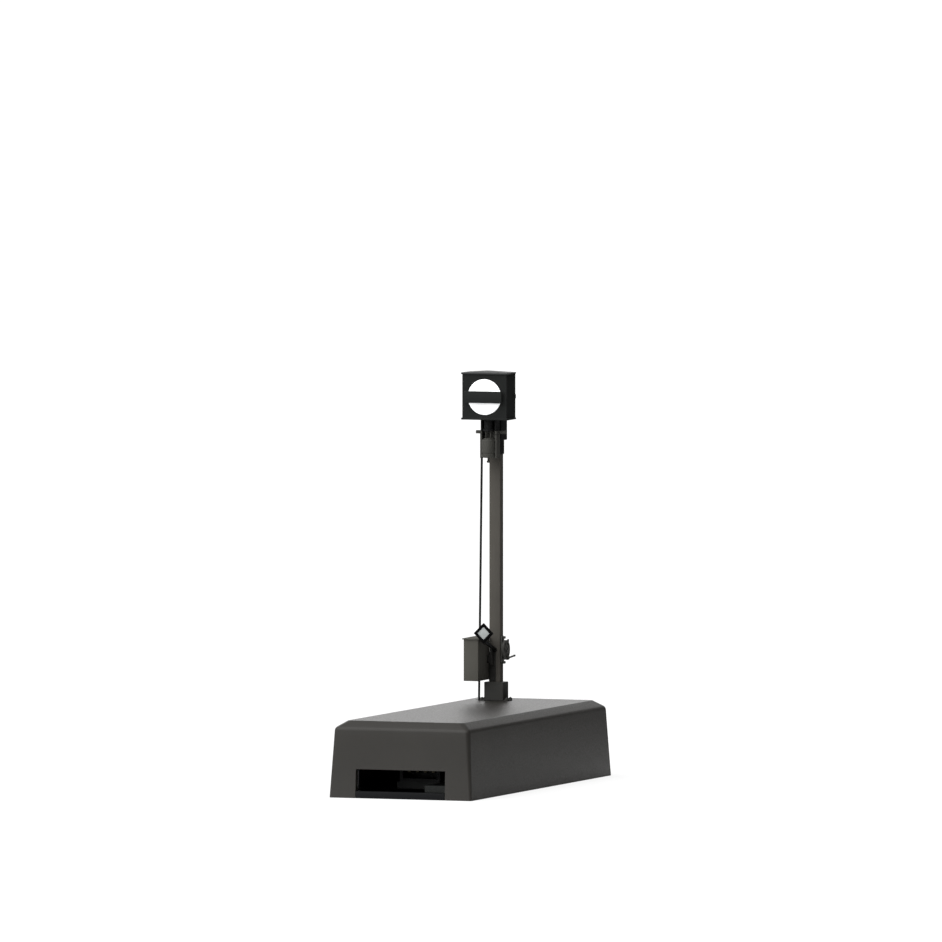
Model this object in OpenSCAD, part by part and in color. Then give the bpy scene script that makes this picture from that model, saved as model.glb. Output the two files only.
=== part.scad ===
// Model railway shunting signal: a motor base, a channel mast and a disc lantern
// whose black bar turns from level to 45 degrees.
// Millimetres. X to the right, Y to the rear, Z up; origin under the middle of the base.

/* [Base] */
// Width of the base cover at its foot
base_w = 22.6; // [22:0.1:30]
// Length of the base cover at its foot
base_l = 59.7; // [49:0.1:80]
// Height of the base cover
base_h = 11.4; // [11.2:0.1:16]
// Wall of the base cover
base_wall = 1.0; // [0.7:0.05:1.2]
// Slope of the cover's sides in degrees
base_draft = 3; // [0:0.5:5]
// Width of the bevel round the deck
bevel_w = 1.5; // [0.5:0.1:2]
// Height of the bevel round the deck
bevel_h = 1.05; // [0.4:0.05:1.2]
// Width of the cable slot in the front wall
slot_w = 14.2; // [8:0.1:15]
// Height of the cable slot from the foot
slot_h = 4.32; // [3:0.02:6]
// Thickness of the base plate
plate_t = 1.03; // [0.8:0.01:1.3]

/* [Mast] */
// Mast centre to the left of the base's middle
mast_left = 4.25; // [3.5:0.05:5]
// Mast centre in front of the base's rear edge
mast_setback = 7.9; // [7:0.1:9]
// Width of the mast channel
mast_w = 1.72; // [1.4:0.02:2.2]
// Depth of the mast channel
mast_d = 1.39; // [1.2:0.02:1.7]
// Wall of the mast channel
mast_wall = 0.35; // [0.25:0.05:0.4]
// Width of the foot block
foot_w = 3.06; // [2.8:0.02:3.2]
// Depth of the foot block
foot_d = 2.28; // [2.2:0.02:3]
// Height of the foot block
foot_h = 2.8; // [2:0.1:3]

/* [Telephone box] */
// Width of the telephone box
phone_w = 2.35; // [1.8:0.05:2.6]
// Depth of the telephone box
phone_d = 4.84; // [4:0.02:6]
// Height of the telephone box without its roof
phone_h = 6.25; // [5:0.05:8]
// Underside of the telephone box above the deck
phone_up = 3.15; // [2.9:0.05:4]

/* [Diamond sign] */
// Side of the diamond sign
sign_side = 2.2; // [1.6:0.1:3]
// Width of the sign's black frame
sign_frame_w = 0.42; // [0.2:0.02:0.5]
// Middle of the sign above the deck
sign_up = 10.4; // [9.5:0.1:12]

/* [Wire wheel] */
// Diameter of the wire wheel
wheel_dia = 3.0; // [2.2:0.1:3.3]
// Thickness of the wire wheel
wheel_t = 0.32; // [0.3:0.02:0.8]
// Wheel axle above the deck
wheel_up = 7.6; // [7:0.1:20]

/* [Head] */
// Middle of the disc above the deck
disc_up = 45.8; // [35:0.1:60]
// Side of the square sleeve round the mast head
sleeve_side = 2.56; // [2.4:0.02:2.8]
// Diameter of the drive cylinder
cylinder_dia = 2.0; // [1.6:0.05:2.4]
// Diameter of the neck under the lantern
neck_dia = 1.3; // [1:0.05:1.6]

/* [Lantern] */
// Width of the lantern
lantern_w = 7.1; // [6.5:0.05:9]
// Depth of the lantern
lantern_d = 3.76; // [3.2:0.02:4.6]
// Height of the lantern up to its roof
lantern_h = 6.8; // [6.4:0.05:8]
// Sheet thickness of the lantern
lantern_wall = 0.35; // [0.25:0.05:0.5]
// Diameter of the white disc
disc_dia = 5.33; // [4.4:0.01:5.4]

/* [Signal bar] */
// Length of the black bar
bar_len = 6.0; // [4.5:0.1:7.2]
// Height of the black bar
bar_h = 1.76; // [1:0.02:1.9]
// Thickness of the black bar
bar_t = 0.45; // [0.3:0.05:0.6]
// Turn of the black bar in degrees
bar_turn = 45; // [30:5:45]
// Lateral distance of the push rod from the bar's shaft
crank_reach = 2.2; // [2:0.05:2.3]
// Diameter of the push rod
rod_dia = 0.35; // [0.25:0.05:0.4]

/* [Drive] */
// Gear module
gear_module = 0.25; // [0.2:0.01:0.27]
// Teeth on the crank gear
gear_teeth = 28; // [24:2:30]
// Teeth on the motor pinion
pinion_teeth = 14; // [12:2:16]
// Width of the gear teeth
gear_t = 1.2; // [0.8:0.1:1.4]
// Diameter of the geared motor
motor_dia = 6.0; // [4:0.1:6.4]
// Length of the geared motor
motor_len = 20; // [12:0.5:22]

/* [Fits] */
// Clearance round pieces that stay put
fit = 0.02; // [0.01:0.01:0.04]
// Clearance round pieces that turn or slide
run = 0.03; // [0.02:0.01:0.05]

/* [Hidden] */
$fn = 48;
eps = 0.01;

// Levels and planes of the base
corner_r = 0.6;
cavity_w = base_w - 2 * base_wall;
cavity_l = base_l - 2 * base_wall;
cavity_top = base_h - base_wall;
base_front = -base_l / 2;
plate_gap = 0.1;
boss_inset = 2.9;
boss_dia = 2.4;
boss_top = cavity_top + base_wall / 2;
screw_dia = 1.2;
screw_head_dia = 2.1;
screw_head_h = 0.45;
locating_pin_z = 2.8;
boss_spots = [for (sx = [-1, 1], sy = [-1, 1])
    [sx * (base_w / 2 - boss_inset), sy * (base_l / 2 - boss_inset - 0.8)]];

// Planes of the mast
mast_x = -mast_left;
mast_y = base_l / 2 - mast_setback;
mast_front = mast_y - mast_d / 2;
mast_rear = mast_y + mast_d / 2;
mast_left_face = mast_x - mast_w / 2;
mast_right_face = mast_x + mast_w / 2;
mast_bottom = cavity_top - 0.4;
flange_t = 0.15;
flange_w = foot_w + 1.5;
flange_d = foot_d - 0.2;
nut_x = foot_w / 2 + 0.45;
nut_y = flange_d / 2 - 0.3;
nut_af = 0.52;
nut_h = 0.25;
stud_h = nut_h + 0.12;
stud_dia = 0.26;

// Levels and planes of the head, all taken from the middle of the disc
disc_z = base_h + disc_up;
lantern_z0 = disc_z - 3.45;
lantern_z1 = lantern_z0 + lantern_h;
sleeve_z0 = lantern_z0 - 3.25;
sleeve_z1 = lantern_z0 + 1.65;
collar_z0 = sleeve_z0 - 2.1;
collar_wall = 0.12;
mast_top = sleeve_z1 - 0.4;
sleeve_front = mast_y - sleeve_side / 2;
lantern_back_y = sleeve_front;
lantern_front_y = lantern_back_y - lantern_d;
lantern_mid_y = (lantern_back_y + lantern_front_y) / 2;
rim_over = 0.17;
rim_h = 0.3;
roof_rise = 0.25;
wire_dia = 0.3;
wire_gap = 0.4;
wire_z = sleeve_z1 - 0.8;
wire_y = mast_y + 0.1;
wire_window = 0.9;
lamp_board_y = lantern_back_y - 1.1;

// The drive cylinder and its bracket
cylinder_y = mast_y - 3.3;
bracket_wall = 0.3;
bracket_half = cylinder_dia / 2 + run + bracket_wall;
bracket_back = cylinder_y + cylinder_dia / 2 + 0.11;
bracket_t = 0.35;
bracket_front = cylinder_y - 0.07;
bracket_z0 = lantern_z0 - 5.8;
bar_z0 = lantern_z0 - 2.19;
crossbar_h = 0.48;
cylinder_h = 2.95;

// The bar, its shaft and its crank
shaft_dia = 0.5;
lens_proud = 0.06;
lens_front = lantern_front_y - lens_proud;
bar_gap = 0.24;
bar_back = lens_front - bar_gap;
bar_front = bar_back - bar_t;
crank_y0 = lantern_back_y + 0.33;
crank_t = 0.4;
bush_dia = 0.9;

// The push rod leans a little, from the deck hole to the crank
rod_travel = 2 * crank_reach * tan(bar_turn / 2);
rod_pin_z = disc_z + crank_reach * tan(bar_turn / 2);
rod_top_x = mast_x - crank_reach;
rod_deck_x = mast_x - 2.76;
rod_slope = (rod_top_x - rod_deck_x) / (rod_pin_z - base_h);
rod_tilt = atan(rod_slope);
rod_y = mast_y;
function rod_x(z) = rod_deck_x + rod_slope * (z - base_h);

// The drive: the gear turns 60 degrees and its crank pin lowers the rod by its travel
gear_swing = 60;
gear_z = (plate_t + cavity_top) / 2;
gear_x = rod_x(gear_z) + rod_travel * (1 + cos(gear_swing / 2)) / 2;
pinion_x = gear_x + gear_module * (gear_teeth + pinion_teeth) / 2;
gear_y0 = mast_y - 1.95;
axle_dia = 1.0;
crank_pin_dia = 0.5;
crank_pin_z = gear_z + rod_travel * sin(gear_swing / 2);
plate_bracket_t = 0.8;
plate_bracket_y = gear_y0 - 0.3 - plate_bracket_t;
motor_y0 = plate_bracket_y - motor_len;
gearbox_y0 = plate_bracket_y - motor_len * 0.55;
pressure = 20;
backlash = 0.05;
yoke_h = 1.6;
yoke_w = 2.0;
yoke_t = 0.4;
yoke_z0 = crank_pin_z - yoke_h / 2;
stub_dia = 0.5;
stub_z0 = plate_t + rod_travel + 0.06;
guide_h = stub_z0 + 0.5 - plate_t;
rod_z0 = yoke_z0 + yoke_h + 0.2;

// The motor's clamp, the plate that carries the gear, and their screws
lug_t = 0.7;
clamp_len = 4;
clamp_y0 = gearbox_y0 + 3;
clamp_foot = 1.6;
clamp_half = motor_dia / 2 + lug_t;
bracket_left = gear_x - 1.6;
bracket_right = pinion_x + motor_dia / 2 + 0.3;
bracket_foot = 2.2;
drive_screw_dia = 0.8;
drive_screw_head_dia = 1.5;
drive_screw_spots = [
    [pinion_x - clamp_half - clamp_foot / 2, clamp_y0 + clamp_len / 2],
    [bracket_left + 1.2, plate_bracket_y - bracket_foot / 2]
];

// The board beside the motor
board_t = 1.0;
board_top = plate_t + board_t;
board_left = 3.4;
board_right = base_w / 2 - 1.9;
board_notch = boss_inset + boss_dia;
board_front = base_front + 1.45;
board_rear = mast_y - 6;
strip_left = 4.5;
socket_front = base_front + 8.35;
socket_len = 5.5;
socket_w = 6.4;
socket_h = 4.2;
pin_count = 4;
pin_pitch = 1.27;
pin_side = 0.4;
chip_x = (strip_left + board_right) / 2;
chip_y = min(socket_front + socket_len + 5, motor_y0 - 4.3);

// Telephone box, sign and wheel
phone_right = mast_left_face - 0.04;
phone_back = mast_front + 0.245;
phone_z0 = base_h + phone_up;
phone_z1 = phone_z0 + phone_h;
phone_roof_h = 0.35;
phone_eave = 0.2;
ear_top = base_h + 7.9;
sign_x = mast_x + 0.15;
sign_z = base_h + sign_up;
sign_front = phone_back - phone_d - 0.61;
sign_t = 0.3;
arm_w = 0.34;
wheel_z = base_h + wheel_up;
wheel_plate_t = 0.24;
wheel_x0 = mast_right_face + 0.49;
wheel_axle_dia = 0.5;
bolt_dia = 0.42;
bolt_h = 0.38;
bolt_reach = wheel_dia / 2 + 0.37;
lug_spots = [[0.37, 0.75], [0.3, -1.03]];
pull_arm_len = 2.72;
pull_arm_t = 0.28;

// A rounded rectangle as thick as eps, centred on Z
module thin_slab(w, l) {
    linear_extrude(eps) offset(r = corner_r, $fn = 24)
        square([w - 2 * corner_r, l - 2 * corner_r], center = true);
}

// The cover's tapered block with a bevel round its top
module cover_block(w, l, h) {
    shoulder = (h - bevel_h) * tan(base_draft);
    crown = h * tan(base_draft) + bevel_w;
    hull() {
        thin_slab(w, l);
        translate([0, 0, h - bevel_h]) thin_slab(w - 2 * shoulder, l - 2 * shoulder);
        translate([0, 0, h - eps]) thin_slab(w - 2 * crown, l - 2 * crown);
    }
}

// A box from its lowest corner to its highest
module span(low, high) {
    translate(low) cube(high - low);
}

// A round bar along Y from y0 to y1
module rod_along_y(x, z, y0, y1, d) {
    translate([x, y0, z]) rotate([-90, 0, 0]) cylinder(h = y1 - y0, d = d);
}

// A round bar along X from x0 to x1
module rod_along_x(y, z, x0, x1, d) {
    translate([x0, y, z]) rotate([0, 90, 0]) cylinder(h = x1 - x0, d = d);
}

// The push rod's own line, with its zero at height z
module on_rod_line(z) {
    translate([rod_x(z), rod_y, z]) rotate([0, rod_tilt, 0]) children();
}

// A wire through a list of points
module wire(points, d) {
    for (i = [0:len(points) - 2]) {
        step = points[i + 1] - points[i];
        reach = norm(step);
        translate(points[i])
            rotate([0, acos(step[2] / reach), atan2(step[1], step[0])])
                cylinder(h = reach, d = d, $fn = 16);
    }
    for (i = [1:len(points) - 2])
        translate(points[i]) sphere(d = d * 1.04, $fn = 16);
}

// The window through which the lantern's wires pass, from y0 to y1
module wire_hole(y0, y1) {
    span([mast_x - wire_window / 2, y0, wire_z - 0.25], [mast_x + wire_window / 2, y1, wire_z + 0.25]);
}

// A slotted screw that stands head down, with the head's face at z
module screw_head_down(x, y, z, length) {
    translate([x, y, z]) difference() {
        union() {
            cylinder(h = screw_head_h, d = screw_head_dia);
            cylinder(h = length, d = screw_dia);
        }
        translate([-screw_head_dia, -0.15, -eps]) cube([2 * screw_head_dia, 0.3, 0.2 + eps]);
    }
}

// Involute tooth flanks
function involute(a) = tan(a) - a * PI / 180;
function half_tooth(teeth, r) =
    let (pitch_r = gear_module * teeth / 2,
         base_r = pitch_r * cos(pressure),
         thick = PI * gear_module / 2 - backlash,
         a = r > base_r ? acos(base_r / r) : 0)
    (thick / (2 * pitch_r) + involute(pressure) - involute(a)) * 180 / PI;
function gear_points(teeth) =
    let (pitch_r = gear_module * teeth / 2,
         root = pitch_r - 1.2 * gear_module,
         tip = pitch_r + 0.8 * gear_module,
         radii = [for (i = [0:4]) root + (tip - root) * i / 4])
    [for (t = [0:teeth - 1], side = [-1, 1], i = [0:4])
        let (r = side < 0 ? radii[i] : radii[4 - i],
             a = t * 360 / teeth + side * half_tooth(teeth, r))
        [r * cos(a), r * sin(a)]];

// A toothed wheel whose front face is at y
module toothed_wheel(teeth, x, z, y, turn) {
    translate([x, y + gear_t, z]) rotate([90, 0, 0]) rotate([0, 0, turn])
        linear_extrude(gear_t) polygon(gear_points(teeth));
}

module base_cover() {
    color([0.25, 0.24, 0.22]) difference() {
        union() {
            difference() {
                cover_block(base_w, base_l, base_h);
                translate([0, 0, -eps]) cover_block(cavity_w, cavity_l, cavity_top + eps);
            }
            for (p = boss_spots)
                translate([p[0], p[1], plate_t]) cylinder(h = boss_top - plate_t, d = boss_dia);
            translate([-1.17, socket_front - 0.5, locating_pin_z]) {
                cylinder(h = boss_top - locating_pin_z, d = 0.35);
                sphere(d = 0.6);
            }
        }
        for (p = boss_spots)
            translate([p[0], p[1], plate_t - eps])
                cylinder(h = 6, d = screw_dia + 2 * fit);
        span([-slot_w / 2, base_front - 1, -1], [slot_w / 2, base_front + 2, slot_h]);
        span([mast_left_face - fit, mast_front - fit, cavity_top - 1],
             [mast_right_face + fit, mast_rear + fit, base_h + 1]);
        translate([rod_deck_x, rod_y, cavity_top - 1]) cylinder(h = base_wall + 2, d = 1 + 2 * fit);
    }
}

module base_plate() {
    color([0.08, 0.08, 0.08]) difference() {
        union() {
            for (cut = [[corner_r, 0], [0, corner_r]])
                span([-cavity_w / 2 + plate_gap + cut[0], -cavity_l / 2 + plate_gap + cut[1], 0],
                     [cavity_w / 2 - plate_gap - cut[0], cavity_l / 2 - plate_gap - cut[1], plate_t]);
            span([-slot_w / 2 + plate_gap / 2, base_front, 0], [slot_w / 2 - plate_gap / 2, 0, plate_t]);
        }
        for (p = boss_spots) translate([p[0], p[1], 0]) {
            translate([0, 0, -1]) cylinder(h = 3, d = screw_dia + 0.1);
            translate([0, 0, -1]) cylinder(h = 1 + screw_head_h + 0.1, d = screw_head_dia + 0.1);
        }
        for (p = drive_screw_spots)
            translate([p[0], p[1], 0.2]) cylinder(h = 2, d = drive_screw_dia + 2 * fit);
    }
}

module cover_screws() {
    color([0.55, 0.55, 0.56])
        for (p = boss_spots) screw_head_down(p[0], p[1], 0.06, 6);
}

module control_board() {
    color([0.35, 0.37, 0.35]) translate([0, 0, plate_t]) linear_extrude(board_t) polygon([
        [board_left, board_front], [board_right - 2.2, board_front],
        [board_right - 2.2, board_front + board_notch], [board_right, board_front + board_notch],
        [board_right, board_rear], [strip_left, board_rear],
        [strip_left, socket_front + socket_len + 1], [-socket_w / 2 - 0.4, socket_front + socket_len + 1],
        [-socket_w / 2 - 0.4, socket_front], [board_left, socket_front]
    ]);
}

module control_chip() {
    color([0.1, 0.1, 0.11]) {
        translate([chip_x - 1.3, chip_y - 2, board_top + 0.15]) cube([2.6, 4, 0.8]);
        for (sx = [-1, 1], k = [0:3])
            translate([chip_x + sx * 1.6 - 0.31, chip_y - 1.8 + k * 1.1, board_top])
                cube([0.62, 0.35, 0.3]);
    }
}

module smoothing_capacitor() {
    color([0.75, 0.75, 0.78]) translate([chip_x, chip_y + 5.5, board_top]) {
        translate([-1.7, -1.7, 0]) cube([3.4, 3.4, 0.4]);
        translate([0, 0, 0.4]) cylinder(h = 3.6, d = 3.2);
    }
}

module chip_parts() {
    color([0.2, 0.16, 0.12])
        for (k = [0:4])
            translate([chip_x - 1.6 + (k % 2) * 1.9, chip_y + 8.4 + k * 1.0, board_top])
                cube([1.2, 0.6, 0.45]);
}

module cable_socket() {
    color([0.12, 0.12, 0.12]) difference() {
        translate([-socket_w / 2, socket_front, board_top]) cube([socket_w, socket_len, socket_h]);
        translate([-socket_w / 2 + 0.5, socket_front - 1, board_top + 0.5])
            cube([socket_w - 1, socket_len - 1, socket_h - 1]);
        for (k = [0:pin_count - 1])
            translate([(k - (pin_count - 1) / 2) * pin_pitch - pin_side / 2 - fit,
                       socket_front, board_top + 1.4 - fit])
                cube([pin_side + 2 * fit, socket_len + 1, pin_side + 2 * fit]);
    }
}

module socket_pins() {
    color([0.75, 0.62, 0.3])
        for (k = [0:pin_count - 1])
            translate([(k - (pin_count - 1) / 2) * pin_pitch - pin_side / 2,
                       socket_front + 0.6, board_top + 1.4])
                cube([pin_side, socket_len - 0.3, pin_side]);
}

module motor_can() {
    color([0.7, 0.7, 0.72]) {
        rod_along_y(pinion_x, gear_z, motor_y0, gearbox_y0, motor_dia - 0.4);
        rod_along_y(pinion_x, gear_z, motor_y0 - 0.6, motor_y0 + eps, 2.2);
    }
}

module gearbox() {
    color([0.6, 0.58, 0.5]) difference() {
        rod_along_y(pinion_x, gear_z, gearbox_y0, plate_bracket_y, motor_dia);
        rod_along_y(pinion_x, gear_z, plate_bracket_y - 1, plate_bracket_y + 1, axle_dia + 2 * run);
    }
}

module motor_clamp() {
    color([0.3, 0.3, 0.32]) difference() {
        union() {
            span([pinion_x - clamp_half, clamp_y0, plate_t],
                 [pinion_x + clamp_half, clamp_y0 + clamp_len, gear_z]);
            rod_along_y(pinion_x, gear_z, clamp_y0, clamp_y0 + clamp_len, 2 * clamp_half);
            span([pinion_x - clamp_half - clamp_foot, clamp_y0, plate_t],
                 [pinion_x - clamp_half + eps, clamp_y0 + clamp_len, plate_t + lug_t]);
        }
        rod_along_y(pinion_x, gear_z, clamp_y0 - 1, clamp_y0 + clamp_len + 1, motor_dia + 2 * fit);
        translate([drive_screw_spots[0][0], drive_screw_spots[0][1], 0])
            cylinder(h = 4, d = drive_screw_dia + 2 * fit);
    }
}

module motor_leads() {
    color([0.5, 0.1, 0.08])
        for (sx = [-1, 1])
            wire([[pinion_x + sx * 0.6, motor_y0 - 0.6, gear_z],
                  [pinion_x + sx * 0.6, motor_y0 - 1.6, gear_z],
                  [strip_left + 1 + sx * 0.4, motor_y0 - 1.8, board_top + 1],
                  [strip_left + 1 + sx * 0.4, motor_y0 - 1.8, board_top]], wire_dia);
}

module drive_bracket() {
    color([0.72, 0.6, 0.32]) difference() {
        union() {
            span([bracket_left, plate_bracket_y, plate_t],
                 [bracket_right, plate_bracket_y + plate_bracket_t, gear_z + motor_dia / 2]);
            span([bracket_left, plate_bracket_y - bracket_foot, plate_t],
                 [pinion_x - motor_dia / 2 - 0.2, plate_bracket_y + eps, plate_t + lug_t]);
        }
        rod_along_y(pinion_x, gear_z, plate_bracket_y - 1, plate_bracket_y + 3, axle_dia + 0.4);
        rod_along_y(gear_x, gear_z, plate_bracket_y - 1, plate_bracket_y + 3, axle_dia + 2 * fit);
        translate([drive_screw_spots[1][0], drive_screw_spots[1][1], 0])
            cylinder(h = 4, d = drive_screw_dia + 2 * fit);
    }
}

module drive_screws() {
    color([0.55, 0.55, 0.56])
        for (p = drive_screw_spots) translate([p[0], p[1], 0]) {
            translate([0, 0, 0.3]) cylinder(h = plate_t + 0.5, d = drive_screw_dia);
            translate([0, 0, plate_t + lug_t]) cylinder(h = 0.5, d = drive_screw_head_dia);
        }
}

module gear_axle() {
    color([0.7, 0.7, 0.72]) {
        rod_along_y(gear_x, gear_z, plate_bracket_y - 0.5, plate_bracket_y, 1.8);
        rod_along_y(gear_x, gear_z, plate_bracket_y - 0.1, gear_y0 + gear_t + 0.5, axle_dia);
    }
}

module axle_clip() {
    color([0.3, 0.3, 0.3]) difference() {
        rod_along_y(gear_x, gear_z, gear_y0 + gear_t + 0.06, gear_y0 + gear_t + 0.3, 1.8);
        rod_along_y(gear_x, gear_z, gear_y0, gear_y0 + gear_t + 1, axle_dia + 2 * fit);
        span([gear_x - 0.25, gear_y0, gear_z - 2], [gear_x + 0.25, gear_y0 + gear_t + 1, gear_z]);
    }
}

module drive_gear() {
    color([0.85, 0.83, 0.75]) difference() {
        union() {
            toothed_wheel(gear_teeth, gear_x, gear_z, gear_y0, 0);
            rod_along_y(gear_x - rod_travel * cos(gear_swing / 2), crank_pin_z,
                        gear_y0 + gear_t / 2, rod_y + yoke_t, crank_pin_dia);
        }
        rod_along_y(gear_x, gear_z, gear_y0 - 1, gear_y0 + gear_t + 1, axle_dia + 2 * run);
    }
}

module motor_shaft() {
    color([0.7, 0.7, 0.72])
        rod_along_y(pinion_x, gear_z, plate_bracket_y - 0.9, gear_y0 + gear_t + 0.2, axle_dia);
}

module drive_pinion() {
    color([0.78, 0.66, 0.35]) difference() {
        toothed_wheel(pinion_teeth, pinion_x, gear_z, gear_y0, 180 / pinion_teeth);
        rod_along_y(pinion_x, gear_z, gear_y0 - 1, gear_y0 + gear_t + 1, axle_dia + 2 * fit);
    }
}

module push_rod() {
    color([0.1, 0.1, 0.1]) {
        on_rod_line(rod_z0)
            cylinder(h = (rod_pin_z - rod_z0) / cos(rod_tilt), d = rod_dia, $fn = 24);
        translate([rod_top_x, rod_y, rod_pin_z]) sphere(d = rod_dia * 1.04, $fn = 24);
        rod_along_y(rod_top_x, rod_pin_z, crank_y0 - 0.15, rod_y, rod_dia);
    }
}

module rod_yoke() {
    pin_slot = rod_travel * (1 - cos(gear_swing / 2)) + crank_pin_dia + 0.4;
    color([0.7, 0.7, 0.72]) on_rod_line(yoke_z0) difference() {
        union() {
            translate([-yoke_w / 2, -yoke_t / 2, 0]) cube([yoke_w, yoke_t, yoke_h]);
            translate([0, 0, stub_z0 - yoke_z0]) cylinder(h = yoke_z0 - stub_z0 + 0.3, d = stub_dia);
            translate([0, 0, yoke_h - 0.1]) cylinder(h = 1.4, d = 0.9);
        }
        translate([-pin_slot / 2, -1, yoke_h / 2 - crank_pin_dia / 2 - 0.05])
            cube([pin_slot, 2, crank_pin_dia + 0.1]);
        translate([0, 0, rod_z0 - yoke_z0 - fit]) cylinder(h = 3, d = rod_dia + 2 * fit);
    }
}

module rod_guide() {
    color([0.85, 0.83, 0.75]) difference() {
        translate([rod_x(plate_t) - 1, rod_y - 0.55, plate_t]) cube([2, 1.3, guide_h]);
        on_rod_line(plate_t) translate([0, 0, -1]) cylinder(h = guide_h + 2, d = stub_dia + 2 * run);
    }
}

module rod_bush() {
    color([0.7, 0.6, 0.35]) difference() {
        translate([rod_deck_x, rod_y, cavity_top - 0.5]) cylinder(h = base_wall + 0.5, d = 1);
        on_rod_line(base_h) translate([0, 0, -4]) cylinder(h = 6, d = rod_dia + 2 * run);
    }
}

module mast() {
    color([0.33, 0.33, 0.31]) difference() {
        span([mast_left_face, mast_front, mast_bottom], [mast_right_face, mast_rear, mast_top]);
        span([mast_left_face + mast_wall, mast_front + mast_wall, mast_bottom - 1],
             [mast_right_face - mast_wall, mast_rear + 1, mast_top + 1]);
        wire_hole(mast_front - 1, mast_y);
    }
}

module mast_foot() {
    color([0.2, 0.2, 0.19]) translate([mast_x, mast_y, base_h]) difference() {
        union() {
            translate([-flange_w / 2, -flange_d / 2, 0]) cube([flange_w, flange_d, flange_t]);
            translate([-foot_w / 2, -foot_d / 2, 0]) cube([foot_w, foot_d, foot_h]);
        }
        translate([-mast_w / 2 - fit, -mast_d / 2 - fit, -1])
            cube([mast_w + 2 * fit, mast_d + 2 * fit, foot_h + 2]);
    }
}

module foot_nuts() {
    color([0.3, 0.3, 0.3])
        for (sx = [-1, 1], sy = [-1, 1])
            translate([mast_x + sx * nut_x, mast_y + sy * nut_y, base_h + flange_t]) {
                cylinder(h = nut_h, d = nut_af / cos(30), $fn = 6);
                cylinder(h = stud_h, d = stud_dia);
            }
}

module lantern_wires() {
    color([0.15, 0.12, 0.1])
        for (sx = [-1, 1])
            wire([[mast_x + sx * wire_gap / 2, lamp_board_y + 0.3, wire_z],
                  [mast_x + sx * wire_gap / 2, wire_y, wire_z],
                  [mast_x + sx * wire_gap / 2, wire_y, cavity_top - 1.4 + sx * 0.2],
                  [chip_x - 1.5, mast_y + 0.45 - sx * 0.3, cavity_top - 1.8 + sx * 0.2],
                  [chip_x, board_rear - 0.9 - sx * 0.4, board_top + 1],
                  [chip_x, board_rear - 0.9 - sx * 0.4, board_top]], wire_dia);
}

module telephone_box() {
    color([0.33, 0.32, 0.3])
        span([phone_right - phone_w, phone_back - phone_d, phone_z0],
             [phone_right, phone_back, phone_z1]);
}

module telephone_roof() {
    left = phone_right - phone_w - phone_eave;
    right = phone_right + phone_eave;
    front = phone_back - phone_d - phone_eave;
    color([0.36, 0.35, 0.33]) difference() {
        hull() {
            span([left, front, phone_z1], [right, phone_back, phone_z1 + 0.15]);
            span([left + 0.9, front + 0.9, phone_z1], [right - 0.9, phone_back, phone_z1 + phone_roof_h]);
        }
        span([mast_left_face - 0.04, mast_front - 0.04, phone_z0],
             [right + 1, phone_back + 1, phone_z1 + 1]);
    }
}

module telephone_bracket() {
    rail_t = 0.15;
    ear_t = 0.35;
    ear_x = mast_x - 0.4;
    color([0.12, 0.12, 0.12]) {
        span([mast_left_face, mast_front - rail_t, base_h + foot_h + 0.1],
             [mast_x + 0.2, mast_front, ear_top - 0.55]);
        span([ear_x, mast_front - 1.05, ear_top - 2.5], [ear_x + ear_t, mast_front, ear_top]);
        span([phone_right, mast_front - 0.8, ear_top - 2.2],
             [ear_x + eps, mast_front - 0.45, ear_top - 1]);
    }
}

module diamond(side, y0, y1) {
    translate([sign_x, y1, sign_z]) rotate([90, 45, 0])
        translate([-side / 2, -side / 2, 0]) cube([side, side, y1 - y0]);
}

module sign_plate() {
    color([0.75, 0.76, 0.74])
        diamond(sign_side - 2 * sign_frame_w, sign_front + 0.08, sign_front + sign_t - 0.1);
}

module sign_frame() {
    color([0.05, 0.05, 0.05]) difference() {
        diamond(sign_side, sign_front, sign_front + sign_t);
        diamond(sign_side - 2 * sign_frame_w + 2 * fit, sign_front - 1, sign_front + sign_t - 0.1);
    }
}

module sign_arm() {
    tip_z = sign_z - sign_side * 0.7;
    color([0.06, 0.06, 0.06]) translate([sign_x - arm_w / 2, 0, 0])
        rotate([90, 0, 90]) linear_extrude(arm_w) polygon([
            [mast_front, ear_top - 0.5], [mast_front, ear_top],
            [sign_front + sign_t, tip_z + 0.6], [sign_front + sign_t, tip_z + 0.1]
        ]);
}

module wheel_plate() {
    color([0.2, 0.2, 0.2]) difference() {
        span([mast_right_face, mast_y - 0.5, wheel_z - bolt_reach - 0.28],
             [mast_right_face + wheel_plate_t, mast_y + 0.5, wheel_z + bolt_reach + 0.28]);
        rod_along_x(mast_y, wheel_z, mast_right_face - 1, mast_right_face + 1, wheel_axle_dia + 2 * fit);
    }
}

module wheel_bolts() {
    color([0.25, 0.25, 0.25])
        for (sz = [-1, 1])
            rod_along_x(mast_y, wheel_z + sz * bolt_reach,
                        mast_right_face + wheel_plate_t, mast_right_face + wheel_plate_t + bolt_h, bolt_dia);
}

module wheel_axle() {
    color([0.5, 0.5, 0.5]) {
        rod_along_x(mast_y, wheel_z, mast_right_face + 0.02, wheel_x0 + wheel_t + 0.1, wheel_axle_dia);
        rod_along_x(mast_y, wheel_z, wheel_x0 + wheel_t + 0.1, wheel_x0 + wheel_t + 0.28, 0.8);
    }
}

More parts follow.
